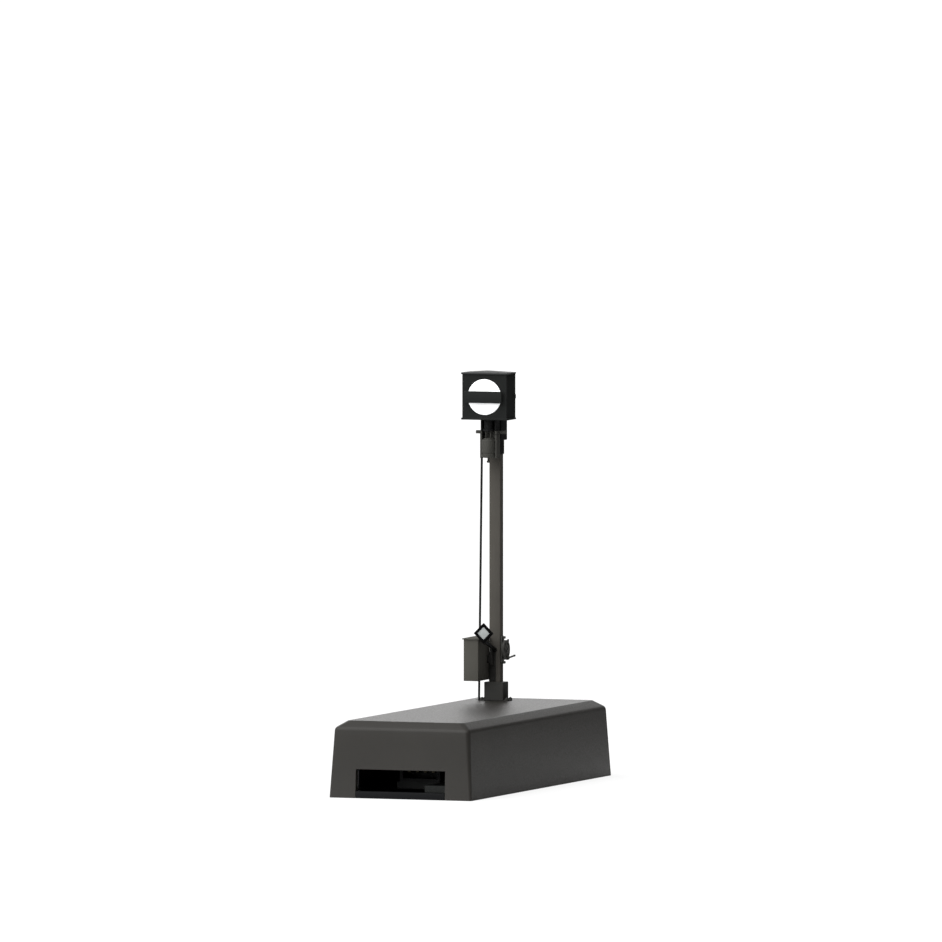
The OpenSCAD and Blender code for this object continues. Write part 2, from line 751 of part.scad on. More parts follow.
module wire_wheel() {
    rim = 0.34;
    hub = 1.1;
    spoke_w = 0.26;
    web_t = 0.1;
    lug_x = 0.18;
    color([0.12, 0.12, 0.12]) difference() {
        union() {
            difference() {
                rod_along_x(mast_y, wheel_z, wheel_x0, wheel_x0 + wheel_t, wheel_dia);
                rod_along_x(mast_y, wheel_z, wheel_x0 - 1, wheel_x0 + 2, wheel_dia - 2 * rim);
            }
            for (a = [0:60:120])
                translate([wheel_x0 + 0.06, mast_y, wheel_z]) rotate([a, 0, 0])
                    translate([0, -spoke_w / 2, -wheel_dia / 2 + rim / 2])
                        cube([wheel_t - 0.12, spoke_w, wheel_dia - rim]);
            rod_along_x(mast_y, wheel_z, wheel_x0, wheel_x0 + wheel_t, hub);
            rod_along_x(mast_y, wheel_z, wheel_x0 + web_t, wheel_x0 + 2 * web_t, wheel_dia - rim);
            for (p = lug_spots * wheel_dia / 2)
                translate([wheel_x0 + lug_x, mast_y + p[0], wheel_z + p[1]])
                    cube([wheel_t - lug_x, 0.5, 0.45]);
        }
        rod_along_x(mast_y, wheel_z, wheel_x0 - 1, wheel_x0 + 2, wheel_axle_dia + 2 * run);
    }
}

module pull_arm() {
    arm_y = mast_y + wheel_dia * 0.13;
    arm_z = wheel_z - wheel_dia * 0.4;
    arm_rise = 4;
    color([0.12, 0.12, 0.12]) {
        rod_along_x(arm_y, arm_z, wheel_x0 + wheel_t, wheel_x0 + wheel_t + 0.25, 0.5);
        translate([wheel_x0 + wheel_t, arm_y, arm_z]) rotate([arm_rise, 0, 0])
            translate([0, 0, -pull_arm_t / 2]) cube([pull_arm_t, pull_arm_len, pull_arm_t]);
    }
}

module head_sleeve() {
    collar_w = mast_w + 2 * (fit + collar_wall);
    collar_d = mast_d + 2 * (fit + collar_wall);
    color([0.3, 0.3, 0.29]) difference() {
        union() {
            translate([mast_x - sleeve_side / 2, mast_y - sleeve_side / 2, sleeve_z0])
                cube([sleeve_side, sleeve_side, sleeve_z1 - sleeve_z0]);
            translate([mast_x - collar_w / 2, mast_y - collar_d / 2, collar_z0])
                cube([collar_w, collar_d, sleeve_z0 - collar_z0 + eps]);
        }
        span([mast_left_face - fit, mast_front - fit, collar_z0 - 1],
             [mast_right_face + fit, mast_rear + fit, mast_top + fit]);
        wire_hole(mast_front - 2, mast_y);
        span([mast_x + 0.42, mast_front - 1, collar_z0 - 1], [mast_x + 0.58, mast_front, collar_z0 + 0.9]);
    }
}

module cylinder_bracket() {
    side_top = bar_z0 + crossbar_h;
    pad_z0 = collar_z0 + 0.2;
    collar_front = mast_front - fit - collar_wall;
    color([0.36, 0.35, 0.33]) translate([mast_x, 0, 0]) {
        span([-bracket_half, bracket_back, bracket_z0], [bracket_half, bracket_back + bracket_t, bar_z0]);
        for (sx = [-1, 1])
            span([sx > 0 ? bracket_half - bracket_wall : -bracket_half, bracket_front, bracket_z0],
                 [sx > 0 ? bracket_half : bracket_wall - bracket_half, bracket_back + eps, bar_z0]);
        for (sx = [-1, 1])
            span([sx > 0 ? bracket_half - bracket_wall : -bracket_half, bracket_front, bar_z0 - eps],
                 [sx > 0 ? bracket_half : bracket_wall - bracket_half, bracket_back - 0.2, side_top]);
        span([-0.5, bracket_back + bracket_t - eps, pad_z0], [0.5, collar_front, pad_z0 + 1.7]);
    }
}

module drive_cylinder() {
    z0 = bracket_z0 + 0.05;
    color([0.42, 0.41, 0.38]) translate([mast_x, cylinder_y, 0]) difference() {
        union() {
            translate([0, 0, z0]) cylinder(h = cylinder_h - 0.3, d = cylinder_dia);
            translate([0, 0, z0 + cylinder_h - 0.3])
                cylinder(h = 0.3, d1 = cylinder_dia, d2 = cylinder_dia - 0.5);
            translate([0, 0, z0 - 0.45]) cylinder(h = 0.5, d = 0.3);
            translate([0, 0, z0 - 0.75]) cylinder(h = 0.35, d = 0.5);
        }
        translate([0, 0, z0 + 0.6]) rotate_extrude()
            translate([cylinder_dia / 2 - 0.08, 0]) square([0.2, 0.14]);
    }
}

module cylinder_rods() {
    z0 = bracket_z0 + 0.05 + cylinder_h;
    color([0.3, 0.3, 0.3])
        for (sx = [-1, 1])
            translate([mast_x + sx * 0.375, cylinder_y, z0])
                cylinder(h = bar_z0 + crossbar_h - z0, d = 0.22, $fn = 24);
}

module cross_bar() {
    color([0.3, 0.29, 0.27])
        span([mast_x - 2.4, bracket_back - 0.18, bar_z0],
             [mast_x + 2.4, bracket_back + 0.45, bar_z0 + crossbar_h]);
}

module neck_tube() {
    z0 = bar_z0 + crossbar_h;
    color([0.3, 0.3, 0.29]) translate([mast_x, cylinder_y, z0]) {
        cylinder(h = lantern_z0 - z0, d = neck_dia);
        cylinder(h = 0.3, d = neck_dia + 0.3);
    }
}

module neck_channel() {
    z0 = bar_z0 + crossbar_h;
    wall = 0.25;
    half = bracket_half - 0.08;
    color([0.1, 0.1, 0.11]) difference() {
        span([mast_x - half, bracket_front + 0.05, z0],
             [mast_x + half, bracket_back + bracket_t, lantern_z0]);
        span([mast_x - half + wall, bracket_front - 1, z0 - 1],
             [mast_x + half - wall, bracket_back, lantern_z0 + 1]);
    }
}

module rim_frame(z) {
    span([mast_x - lantern_w / 2 - rim_over, lantern_front_y - rim_over, z],
         [mast_x + lantern_w / 2 + rim_over, lantern_back_y, z + rim_h]);
}

module lantern_housing() {
    inner_w = lantern_w - 2 * lantern_wall;
    color([0.19, 0.2, 0.2]) difference() {
        union() {
            span([mast_x - lantern_w / 2, lantern_front_y, lantern_z0],
                 [mast_x + lantern_w / 2, lantern_back_y, lantern_z1]);
            rim_frame(lantern_z0);
            span([mast_x + lantern_w / 2 - eps, lantern_back_y - 0.6, disc_z - 0.3],
                 [mast_x + lantern_w / 2 + 0.14, lantern_back_y - 0.1, disc_z + 0.3]);
        }
        span([mast_x - inner_w / 2, lantern_front_y + lantern_wall, lantern_z0 + lantern_wall],
             [mast_x + inner_w / 2, lantern_back_y + 1, lantern_z1 + 1]);
        rod_along_y(mast_x, disc_z, lantern_front_y - 1, lantern_front_y + 1, disc_dia + 2 * fit);
    }
}

module lantern_roof() {
    color([0.3, 0.31, 0.31]) {
        rim_frame(lantern_z1);
        hull() {
            span([mast_x - lantern_w / 2, lantern_front_y, lantern_z1 + rim_h - eps],
                 [mast_x + lantern_w / 2, lantern_back_y, lantern_z1 + rim_h + eps]);
            translate([mast_x, lantern_mid_y, lantern_z1 + rim_h + roof_rise - 0.1])
                linear_extrude(0.1) square(0.6, center = true);
        }
    }
}

module lantern_back() {
    inner_w = lantern_w - 2 * lantern_wall - 2 * fit;
    color([0.19, 0.2, 0.2]) difference() {
        span([mast_x - inner_w / 2, lantern_back_y - lantern_wall, lantern_z0 + lantern_wall + fit],
             [mast_x + inner_w / 2, lantern_back_y, lantern_z1 - fit]);
        rod_along_y(mast_x, disc_z, lantern_back_y - 1, lantern_back_y + 1, bush_dia + 2 * fit);
        wire_hole(lantern_back_y - 1, lantern_back_y + 1);
    }
}

module white_disc() {
    color([0.95, 0.95, 0.94]) difference() {
        union() {
            rod_along_y(mast_x, disc_z, lens_front, lantern_front_y + lantern_wall + 0.3, disc_dia);
            rod_along_y(mast_x, disc_z, lantern_front_y + lantern_wall + fit,
                        lantern_front_y + lantern_wall + 0.3, disc_dia + 0.5);
        }
        rod_along_y(mast_x, disc_z, lens_front - 1, lantern_front_y + 2, bush_dia + 2 * fit);
    }
}

module lamp_board() {
    board_side = 5.2;
    color([0.85, 0.85, 0.8]) difference() {
        span([mast_x - board_side / 2, lamp_board_y, disc_z - board_side / 2],
             [mast_x + board_side / 2, lamp_board_y + 0.3, disc_z + board_side / 2]);
        rod_along_y(mast_x, disc_z, lamp_board_y - 1, lamp_board_y + 1, bush_dia + 2 * fit);
    }
}

module lamps() {
    color([0.95, 0.85, 0.4])
        for (sx = [-1, 1], sz = [-1, 1])
            translate([mast_x + sx * 1.6 - 0.4, lamp_board_y - 0.4, disc_z + sz * 1.3 - 0.25])
                cube([0.8, 0.4, 0.5]);
}

module shaft_bush() {
    color([0.75, 0.63, 0.33]) difference() {
        rod_along_y(mast_x, disc_z, lens_front + 0.02, lantern_back_y + 0.24, bush_dia);
        rod_along_y(mast_x, disc_z, lens_front - 1, lantern_back_y + 1, shaft_dia + 2 * run);
    }
}

module signal_bar() {
    color([0.03, 0.03, 0.03]) difference() {
        span([mast_x - bar_len / 2, bar_front, disc_z - bar_h / 2],
             [mast_x + bar_len / 2, bar_back, disc_z + bar_h / 2]);
        rod_along_y(mast_x, disc_z, bar_front + 0.18, bar_back + 1, shaft_dia + 2 * fit);
    }
}

module bar_shaft() {
    color([0.55, 0.55, 0.56]) {
        rod_along_y(mast_x, disc_z, bar_front + 0.2, crank_y0 + crank_t + 0.08, shaft_dia);
        rod_along_y(mast_x, disc_z, bar_back, lens_front - 0.04, bush_dia);
    }
}

module bar_crank() {
    near = crank_reach;
    far = crank_reach / cos(bar_turn / 2);
    slot = rod_dia + 0.1;
    color([0.4, 0.4, 0.4]) translate([mast_x, crank_y0 + crank_t, disc_z])
        rotate([90, 0, 0]) rotate([0, 0, 180 - bar_turn / 2]) difference() {
            union() {
                cylinder(h = crank_t, d = 1.3);
                translate([0, -0.45, 0]) cube([far, 0.9, crank_t]);
                translate([far, 0, 0]) cylinder(h = crank_t, d = 0.9);
            }
            translate([0, 0, -1]) cylinder(h = 3, d = shaft_dia + 2 * fit);
            translate([near, -slot / 2, -1]) cube([far - near, slot, 3]);
            translate([near, 0, -1]) cylinder(h = 3, d = slot);
            translate([far, 0, -1]) cylinder(h = 3, d = slot);
        }
}

base_cover();
base_plate();
cover_screws();
control_board();
control_chip();
smoothing_capacitor();
chip_parts();
cable_socket();
socket_pins();
motor_can();
gearbox();
motor_clamp();
motor_leads();
drive_bracket();
drive_screws();
gear_axle();
axle_clip();
drive_gear();
motor_shaft();
drive_pinion();
push_rod();
rod_yoke();
rod_guide();
rod_bush();
mast();
mast_foot();
foot_nuts();
lantern_wires();
telephone_box();
telephone_roof();
telephone_bracket();
sign_plate();
sign_frame();
sign_arm();
wheel_plate();
wheel_bolts();
wheel_axle();
wire_wheel();
pull_arm();
head_sleeve();
cylinder_bracket();
drive_cylinder();
cylinder_rods();
cross_bar();
neck_tube();
neck_channel();
lantern_housing();
lantern_roof();
lantern_back();
white_disc();
lamp_board();
lamps();
shaft_bush();
signal_bar();
bar_shaft();
bar_crank();
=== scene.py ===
"""A model railway shunting signal: its shells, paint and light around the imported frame.

The CAD nodes give every place and size. Each class below stands for one sub-assembly: it reads
the boxes of its CAD nodes, works out its surfaces with numpy and dresses them in their finishes.
Lengths in the classes are millimetres; a mesh is written in metres.
"""

import functools
import logging
import math
from dataclasses import dataclass, field
from enum import Enum
from typing import ClassVar, Iterable, Optional, Sequence

import bmesh
import bpy
import numpy as np
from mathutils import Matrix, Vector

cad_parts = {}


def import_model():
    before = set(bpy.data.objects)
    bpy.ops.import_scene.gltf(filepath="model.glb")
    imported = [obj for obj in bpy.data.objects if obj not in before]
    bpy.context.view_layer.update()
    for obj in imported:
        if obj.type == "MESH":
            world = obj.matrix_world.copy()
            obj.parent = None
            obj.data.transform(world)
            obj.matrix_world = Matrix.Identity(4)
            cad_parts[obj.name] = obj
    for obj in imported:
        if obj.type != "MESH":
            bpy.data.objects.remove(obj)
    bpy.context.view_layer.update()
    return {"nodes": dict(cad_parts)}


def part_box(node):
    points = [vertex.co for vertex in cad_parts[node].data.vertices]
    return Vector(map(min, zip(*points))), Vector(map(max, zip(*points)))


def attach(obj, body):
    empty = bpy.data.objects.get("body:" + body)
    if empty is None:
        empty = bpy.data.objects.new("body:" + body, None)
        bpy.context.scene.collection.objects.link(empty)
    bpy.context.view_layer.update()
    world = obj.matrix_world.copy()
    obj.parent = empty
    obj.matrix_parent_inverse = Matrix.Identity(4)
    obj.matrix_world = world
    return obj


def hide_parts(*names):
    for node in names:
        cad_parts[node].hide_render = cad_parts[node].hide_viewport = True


LOG = logging.getLogger("signal")
MM = 0.001
FRAME_BODY = "signal_frame"
Array = np.ndarray


class Grain(Enum):
    """The kinds of fine surface that the finishes choose from."""

    MOULDED = "spark-eroded plastic"
    PAINTED = "sprayed matt paint"
    BRUSHED = "drawn or turned metal"
    LAMINATE = "glass fibre laminate"
    SMOOTH = "polished plastic"


@dataclass(frozen=True)
class Finish:
    """One finish: its colour, gloss and fine surface.

    Args:
        name: the material's name.
        slot: the record's material slot it stands for.
        colour: linear red, green and blue.
        roughness: microfacet roughness of the clean surface.
        grain: the kind of fine surface.
        metallic: 1 for bare metal.
        specular: strength of the clear reflection of a dielectric.
        tone: how far the colour drifts over the piece, as a share.
        rub: how much lighter the exposed edges are, as a share.
        relief: height of the fine surface in millimetres.
        painted_glow: strength of painted light that the surface gives out itself, which brightens it as if lit.
    """

    name: str
    slot: str
    colour: tuple[float, float, float]
    roughness: float
    grain: Grain
    metallic: float = 0.0
    specular: float = 0.25
    tone: float = 0.12
    rub: float = 0.25
    relief: float = 0.004
    painted_glow: float = 0.0


class Paint(Enum):
    """Every finish on the signal."""

    COVER = Finish("cover_moulding", "cover_plastic", (0.0138, 0.0127, 0.0109), 0.44, Grain.MOULDED,
                   specular=0.18)
    PLATE = Finish("plate_moulding", "plate_plastic", (0.0022, 0.0025, 0.0030), 0.55, Grain.MOULDED,
                   specular=0.08)
    MAST = Finish("mast_enamel", "mast_paint", (0.054, 0.0505, 0.0445), 0.8, Grain.PAINTED, specular=0.05)
    # Painted shade: the sleeve wears the mast paint darkened almost to black, for the shade that falls on it
    # under the lantern and its bracket.
    SLEEVE = Finish("sleeve_shaded_enamel", "mast_paint", (0.0045, 0.0047, 0.0050), 0.7, Grain.PAINTED,
                    specular=0.08)
    FOOT = Finish("foot_enamel", "foot_paint", (0.0235, 0.0235, 0.0215), 0.65, Grain.PAINTED, specular=0.15)
    BOX = Finish("telephone_enamel", "box_paint", (0.056, 0.054, 0.0475), 0.8, Grain.PAINTED, specular=0.05)
    HEAD = Finish("head_enamel", "head_paint", (0.037, 0.0365, 0.0325), 0.6, Grain.PAINTED, specular=0.12)
    # Painted shade: the neck wears the head paint darkened almost to black, for the shade under the lantern.
    NECK = Finish("neck_shaded_enamel", "head_paint", (0.0060, 0.0062, 0.0066), 0.65, Grain.PAINTED, specular=0.1)
    BLACK = Finish("black_enamel", "black_paint", (0.0035, 0.0037, 0.0040), 0.6, Grain.PAINTED,
                   specular=0.12, rub=0.5)
    # Painted highlight: a far lighter copy of the black paint, for the light that catches the wheel's spokes;
    # the plate, bolt heads and pull arm wear it too.
    WHEEL = Finish("wheel_lit_enamel", "black_paint", (0.0340, 0.0340, 0.0310), 0.5, Grain.PAINTED,
                   specular=0.2, rub=0.5)
    BORDER = Finish("border_enamel", "black_paint", (0.0008, 0.0008, 0.0009), 0.6, Grain.PAINTED,
                    specular=0.03, rub=0.0)
    # Painted shade: the rail's dark paint over the left of the mast's face stands in for the shade cast by the
    # telephone box; the bracket itself is real.
    RAIL = Finish("rail_enamel", "black_paint", (0.0140, 0.0140, 0.0130), 0.6, Grain.PAINTED, specular=0.12)
    AXLE = Finish("blackened_steel", "screw_steel", (0.060, 0.060, 0.058), 0.4, Grain.BRUSHED, metallic=1.0)
    LANTERN = Finish("lantern_enamel", "lantern_paint", (0.0118, 0.0126, 0.0122), 0.8, Grain.PAINTED,
                     specular=0.05)
    ROOF = Finish("roof_enamel", "lantern_paint", (0.0125, 0.0135, 0.0135), 0.46, Grain.PAINTED,
                  specular=0.2)
    # Painted light: the white disc glows by itself, which brightens it as if lit, though it is no lamp.
    DISC = Finish("disc_acrylic", "disc_white", (0.86, 0.87, 0.87), 0.32, Grain.SMOOTH, rub=0.0, tone=0.02,
                  painted_glow=0.35)
    BAR = Finish("bar_moulding", "bar_black", (0.0082, 0.0092, 0.0088), 0.6, Grain.MOULDED, specular=0.1,
                 relief=0.003)
    SIGN = Finish("sign_enamel", "sign_white", (0.255, 0.270, 0.266), 0.6, Grain.PAINTED, specular=0.2,
                  rub=0.0, tone=0.05)
    # Painted shade: the laminate is darker than its own grey, for the shade inside the cable slot where its
    # edge shows.
    BOARD = Finish("board_laminate_shaded", "board", (0.0070, 0.0080, 0.0075), 0.55, Grain.LAMINATE, specular=0.12)
    BOARD_WHITE = Finish("lamp_board_mask", "board_white", (0.68, 0.68, 0.62), 0.4, Grain.LAMINATE)
    CHIP = Finish("moulded_epoxy", "chip_black", (0.0015, 0.0018, 0.0022), 0.6, Grain.MOULDED, specular=0.15)
    CERAMIC = Finish("chip_ceramic", "chip_brown", (0.055, 0.034, 0.02), 0.4, Grain.SMOOTH)
    STEEL = Finish("zinc_plate", "screw_steel", (0.42, 0.42, 0.44), 0.34, Grain.BRUSHED, metallic=1.0)
    BRIGHT = Finish("bright_steel", "bright_metal", (0.58, 0.58, 0.60), 0.26, Grain.BRUSHED, metallic=1.0)
    # Painted shade: the gold pins are darkened almost to black, for the shade inside the cable slot.
    PINS = Finish("gold_pins_shaded", "gold_brass", (0.030, 0.026, 0.018), 0.5, Grain.BRUSHED, metallic=1.0)
    ZINC = Finish("die_cast_zinc", "zinc", (0.44, 0.43, 0.40), 0.45, Grain.BRUSHED, metallic=1.0)
    BRASS = Finish("turned_brass", "brass", (0.60, 0.43, 0.17), 0.30, Grain.BRUSHED, metallic=1.0)
    RED_WIRE = Finish("red_insulation", "red_wire", (0.26, 0.02, 0.014), 0.4, Grain.SMOOTH)
    WIRE = Finish("blackened_wire", "black_wire", (0.0045, 0.0045, 0.0045), 0.55, Grain.PAINTED,
                  specular=0.15)
    ACETAL = Finish("acetal", "gear_plastic", (0.64, 0.60, 0.48), 0.42, Grain.SMOOTH)
    LAMP = Finish("lamp_phosphor", "lamp_yellow", (0.80, 0.56, 0.12), 0.3, Grain.SMOOTH)


# Scale of the fine pattern per metre, its stretch along Z, and the octaves it is drawn with
GRAIN_PATTERN = {
    Grain.MOULDED: (5200.0, 1.0, 4.0),
    Grain.PAINTED: (7600.0, 1.0, 3.0),
    Grain.BRUSHED: (9000.0, 0.06, 3.0),
    Grain.LAMINATE: (3600.0, 4.0, 2.0),
    Grain.SMOOTH: (2400.0, 1.0, 2.0),
}


@functools.cache
def dressed(finish: Finish) -> bpy.types.Material:
    """The finish as a node material, made once.

    The colour drifts with a slow noise and lightens on the edges, where the bevelled normal
    leaves the true one; the roughness and the relief follow a fine noise.

    Args:
        finish: the finish to build.

    Returns:
        The material.
    """
    material = bpy.data.materials.new(finish.name)
    material.use_nodes = True
    tree = material.node_tree
    nodes, links = tree.nodes, tree.links
    shader = nodes["Principled BSDF"]
    shader.inputs["Metallic"].default_value = finish.metallic
    shader.inputs["Specular IOR Level"].default_value = finish.specular
    scale, stretch, octaves = GRAIN_PATTERN[finish.grain]

    place = nodes.new("ShaderNodeTexCoord")
    turn = nodes.new("ShaderNodeMapping")
    turn.inputs["Scale"].default_value = (1.0, 1.0, stretch)
    links.new(place.outputs["Object"], turn.inputs["Vector"])

    fine = nodes.new("ShaderNodeTexNoise")
    fine.inputs["Scale"].default_value = scale
    fine.inputs["Detail"].default_value = octaves
    links.new(turn.outputs["Vector"], fine.inputs["Vector"])

    slow = nodes.new("ShaderNodeTexNoise")
    slow.inputs["Scale"].default_value = 160.0
    slow.inputs["Detail"].default_value = 3.0
    links.new(place.outputs["Object"], slow.inputs["Vector"])

    drift = nodes.new("ShaderNodeMath")
    drift.operation = "MULTIPLY_ADD"
    links.new(fine.outputs["Fac"], drift.inputs[0])
    drift.inputs[1].default_value = 0.35
    links.new(slow.outputs["Fac"], drift.inputs[2])

    tone = nodes.new("ShaderNodeValToRGB")
    low, high = tone.color_ramp.elements
    low.position, high.position = 0.35, 1.0
    low.color = (*[c * (1 - finish.tone) for c in finish.colour], 1.0)
    high.color = (*[min(1.0, c * (1 + finish.tone)) for c in finish.colour], 1.0)
    links.new(drift.outputs["Value"], tone.inputs["Fac"])
    colour = tone.outputs["Color"]

    if finish.rub > 0.0:
        soft = nodes.new("ShaderNodeBevel")
        soft.samples = 4
        soft.inputs["Radius"].default_value = 0.12 * MM
        true = nodes.new("ShaderNodeNewGeometry")
        along = nodes.new("ShaderNodeVectorMath")
        along.operation = "DOT_PRODUCT"
        links.new(soft.outputs["Normal"], along.inputs[0])
        links.new(true.outputs["Normal"], along.inputs[1])
        edge = nodes.new("ShaderNodeMapRange")
        edge.inputs["From Min"].default_value = 0.995
        edge.inputs["From Max"].default_value = 0.80
        edge.inputs["To Max"].default_value = finish.rub
        links.new(along.outputs["Value"], edge.inputs["Value"])
        worn = nodes.new("ShaderNodeMix")
        worn.data_type = "RGBA"
        worn.blend_type = "MIX"
        lighter = [min(1.0, c * 1.9 + 0.004) for c in finish.colour]
        worn.inputs["B"].default_value = (*lighter, 1.0)
        links.new(edge.outputs["Result"], worn.inputs["Factor"])
        links.new(colour, worn.inputs["A"])
        colour = worn.outputs["Result"]
    links.new(colour, shader.inputs["Base Color"])
    # Painted light where painted_glow is set: the base colour also shines out as emission.
    links.new(colour, shader.inputs["Emission Color"])
    shader.inputs["Emission Strength"].default_value = finish.painted_glow

    gloss = nodes.new("ShaderNodeMapRange")
    gloss.inputs["From Min"].default_value = 0.3
    gloss.inputs["From Max"].default_value = 0.7
    gloss.inputs["To Min"].default_value = finish.roughness - 0.06
    gloss.inputs["To Max"].default_value = finish.roughness + 0.08
    links.new(fine.outputs["Fac"], gloss.inputs["Value"])
    links.new(gloss.outputs["Result"], shader.inputs["Roughness"])

    bump = nodes.new("ShaderNodeBump")
    bump.inputs["Strength"].default_value = 0.6
    bump.inputs["Distance"].default_value = finish.relief * MM
    links.new(fine.outputs["Fac"], bump.inputs["Height"])
    links.new(bump.outputs["Normal"], shader.inputs["Normal"])
    return material


@dataclass
class Surface:
    """Points in millimetres and the faces between them.

    Args:
        points: array of n points.
        faces: index lists, each one face.
    """

    points: Array
    faces: list[tuple[int, ...]] = field(default_factory=list)

    def joined(self, *others: "Surface") -> "Surface":
        """This surface and the others as one, with the others' indices moved along."""
        points, faces = [self.points], list(self.faces)
        count = len(self.points)
        for other in others:
            faces += [tuple(int(i) + count for i in face) for face in other.faces]
            points.append(other.points)
            count += len(other.points)
        return Surface(np.concatenate(points), faces)

    def turned(self, axis: int, degrees: float, centre: Sequence[float]) -> "Surface":
        """The surface turned about an axis through a centre, by the right-hand rule."""
        c, s = math.cos(math.radians(degrees)), math.sin(math.radians(degrees))
        first, second = (axis + 1) % 3, (axis + 2) % 3
        middle = np.asarray(centre, float)
        p = self.points - middle
        q = p.copy()
        q[:, first] = c * p[:, first] - s * p[:, second]
        q[:, second] = s * p[:, first] + c * p[:, second]
        return Surface(q + middle, self.faces)


class Facing(Enum):
    """The way a plane outline is laid in space: which axes its two numbers and its depth take."""

    X = (1, 2, 0)
    Y = (0, 2, 1)
    Z = (0, 1, 2)


def laid(outline: Array, depth: float, facing: Facing) -> Array:
    """A plane outline as points in space.

    Args:
        outline: n pairs.
        depth: the place along the third axis.
        facing: which axes the outline lies on.

    Returns:
        n points.
    """
    first, second, third = facing.value
    points = np.empty((len(outline), 3))
    points[:, first], points[:, second], points[:, third] = outline[:, 0], outline[:, 1], depth
    return points


def rounded_outline(half_w: float, half_h: float, radius: float, steps: int = 6,
                    centre: Sequence[float] = (0.0, 0.0)) -> Array:
    """A rectangle with round corners: each corner's quarter circle is swept from its own centre.

    Args:
        half_w: half of the width.
        half_h: half of the height.
        radius: corner radius.
        steps: points on each quarter circle, less one.
        centre: the middle of the rectangle.

    Returns:
        The closed outline, anticlockwise, without its first point repeated.
    """
    radius = min(radius, half_w - 1e-4, half_h - 1e-4)
    quarter = np.linspace(0.0, math.pi / 2, steps + 1)
    start = np.arange(4) * math.pi / 2
    angle = (start[:, None] + quarter[None, :]).ravel()
    sign_x = np.repeat([1.0, -1.0, -1.0, 1.0], steps + 1)
    sign_y = np.repeat([1.0, 1.0, -1.0, -1.0], steps + 1)
    x = centre[0] + sign_x * (half_w - radius) + radius * np.cos(angle)
    y = centre[1] + sign_y * (half_h - radius) + radius * np.sin(angle)
    return np.column_stack([x, y])


def circle_outline(radius: float, count: int, centre: Sequence[float] = (0.0, 0.0),
                   start: float = 0.0) -> Array:
    """Points evenly round a circle, from the start angle in radians."""
    angle = start + np.arange(count) * 2 * math.pi / count
    return np.column_stack([centre[0] + radius * np.cos(angle), centre[1] + radius * np.sin(angle)])


def loft(rings: Sequence[Array], closed: bool = False, caps: bool = True) -> Surface:
    """Quads between rings of equally many points.

    Args:
        rings: arrays of n points each, in order along the shape.
        closed: join the last ring to the first, as on a hollow shell.
        caps: close the first and last ring with a face each.

    Returns:
        The surface.
    """
    rows, columns = len(rings), len(rings[0])
    points = np.concatenate(rings)
    row = np.arange(rows if closed else rows - 1)[:, None]
    column = np.arange(columns)[None, :]
    after, beside = (row + 1) % rows, (column + 1) % columns
    quads = np.stack([row * columns + column, row * columns + beside,
                      after * columns + beside, after * columns + column], axis=-1).reshape(-1, 4)
    faces = [tuple(q) for q in quads.tolist()]
    if caps and not closed:
        faces.append(tuple(range(columns))[::-1])
        faces.append(tuple(range((rows - 1) * columns, rows * columns)))
    return Surface(points, faces)


def unit_rows(rows: Array) -> Array:
    """Each row divided by its own length."""
    return rows / np.linalg.norm(rows, axis=1)[:, None]


def edge_profile(start: float, end: float, edge: float, steps: int = 3) -> list[tuple[float, float]]:
    """Depth and inset of a slab whose two rims are rounded by a quarter circle.

    Args:
        start: the first face.
        end: the last face.
        edge: radius of the rounding.
        steps: pieces in each rounding.

    Returns:
        Pairs of depth and inset, from the first face to the last.
    """
    edge = min(edge, abs(end - start) / 2 * 0.98)
    way = math.copysign(1.0, end - start)
    angle = np.linspace(0.0, math.pi / 2, steps + 1)
    rise = edge * (1 - np.cos(angle))
    inset = edge * (1 - np.sin(angle))
    first = [(start + way * d, i) for d, i in zip(rise, inset)]
    last = [(end - way * d, i) for d, i in zip(rise[::-1], inset[::-1])]
    return first + last


def slab(low: Sequence[float], high: Sequence[float], edge: float = 0.05, corner: Optional[float] = None,
         facing: Facing = Facing.Z, steps: int = 3) -> Surface:
    """A block with rounded rims and corners, lofted along one axis.

    Args:
        low: lowest corner.
        high: highest corner.
        edge: rounding of the two rims.
        corner: rounding of the four long edges, the rims' own where left out.
        facing: the axis it is lofted along.
        steps: pieces in each rounding.

    Returns:
        The closed surface.
    """
    low, high = np.asarray(low, float), np.asarray(high, float)
    first, second, third = facing.value
    half, middle = (high - low) / 2, (high + low) / 2
    corner = max(corner if corner is not None else edge, edge)
    centre = (middle[first], middle[second])
    rings = [laid(rounded_outline(half[first] - i, half[second] - i, max(corner - i, 1e-3), max(steps, 3),
                                  centre),
                  d, facing)
             for d, i in edge_profile(low[third], high[third], edge, steps)]
    return loft(rings)


def profile_rings(profile: Sequence[tuple[float, float]], centre: Sequence[float], facing: Facing,
                  count: int) -> list[Array]:
    """One circle for each pair of radius and depth, about the axis through the centre."""
    first, second, third = facing.value
    middle = (centre[first], centre[second])
    return [laid(circle_outline(r, count, middle), centre[third] + d, facing) for r, d in profile]


def lathe(profile: Sequence[tuple[float, float]], centre: Sequence[float], facing: Facing = Facing.Z,
          count: int = 48) -> Surface:
    """A profile of radius and depth turned about an axis through the centre; its ends are capped.

    Args:
        profile: pairs of radius and depth from the centre.
        centre: a point on the axis.
        facing: the axis.
        count: steps round the circle.

    Returns:
        The surface.
    """
    return loft(profile_rings(profile, centre, facing, count))


def ring_lathe(profile: Sequence[tuple[float, float]], centre: Sequence[float], facing: Facing = Facing.Z,
               count: int = 64) -> Surface:
    """A closed profile of radius and depth turned about an axis, as a rim or a bush is."""
    return loft(profile_rings(profile, centre, facing, count), closed=True)


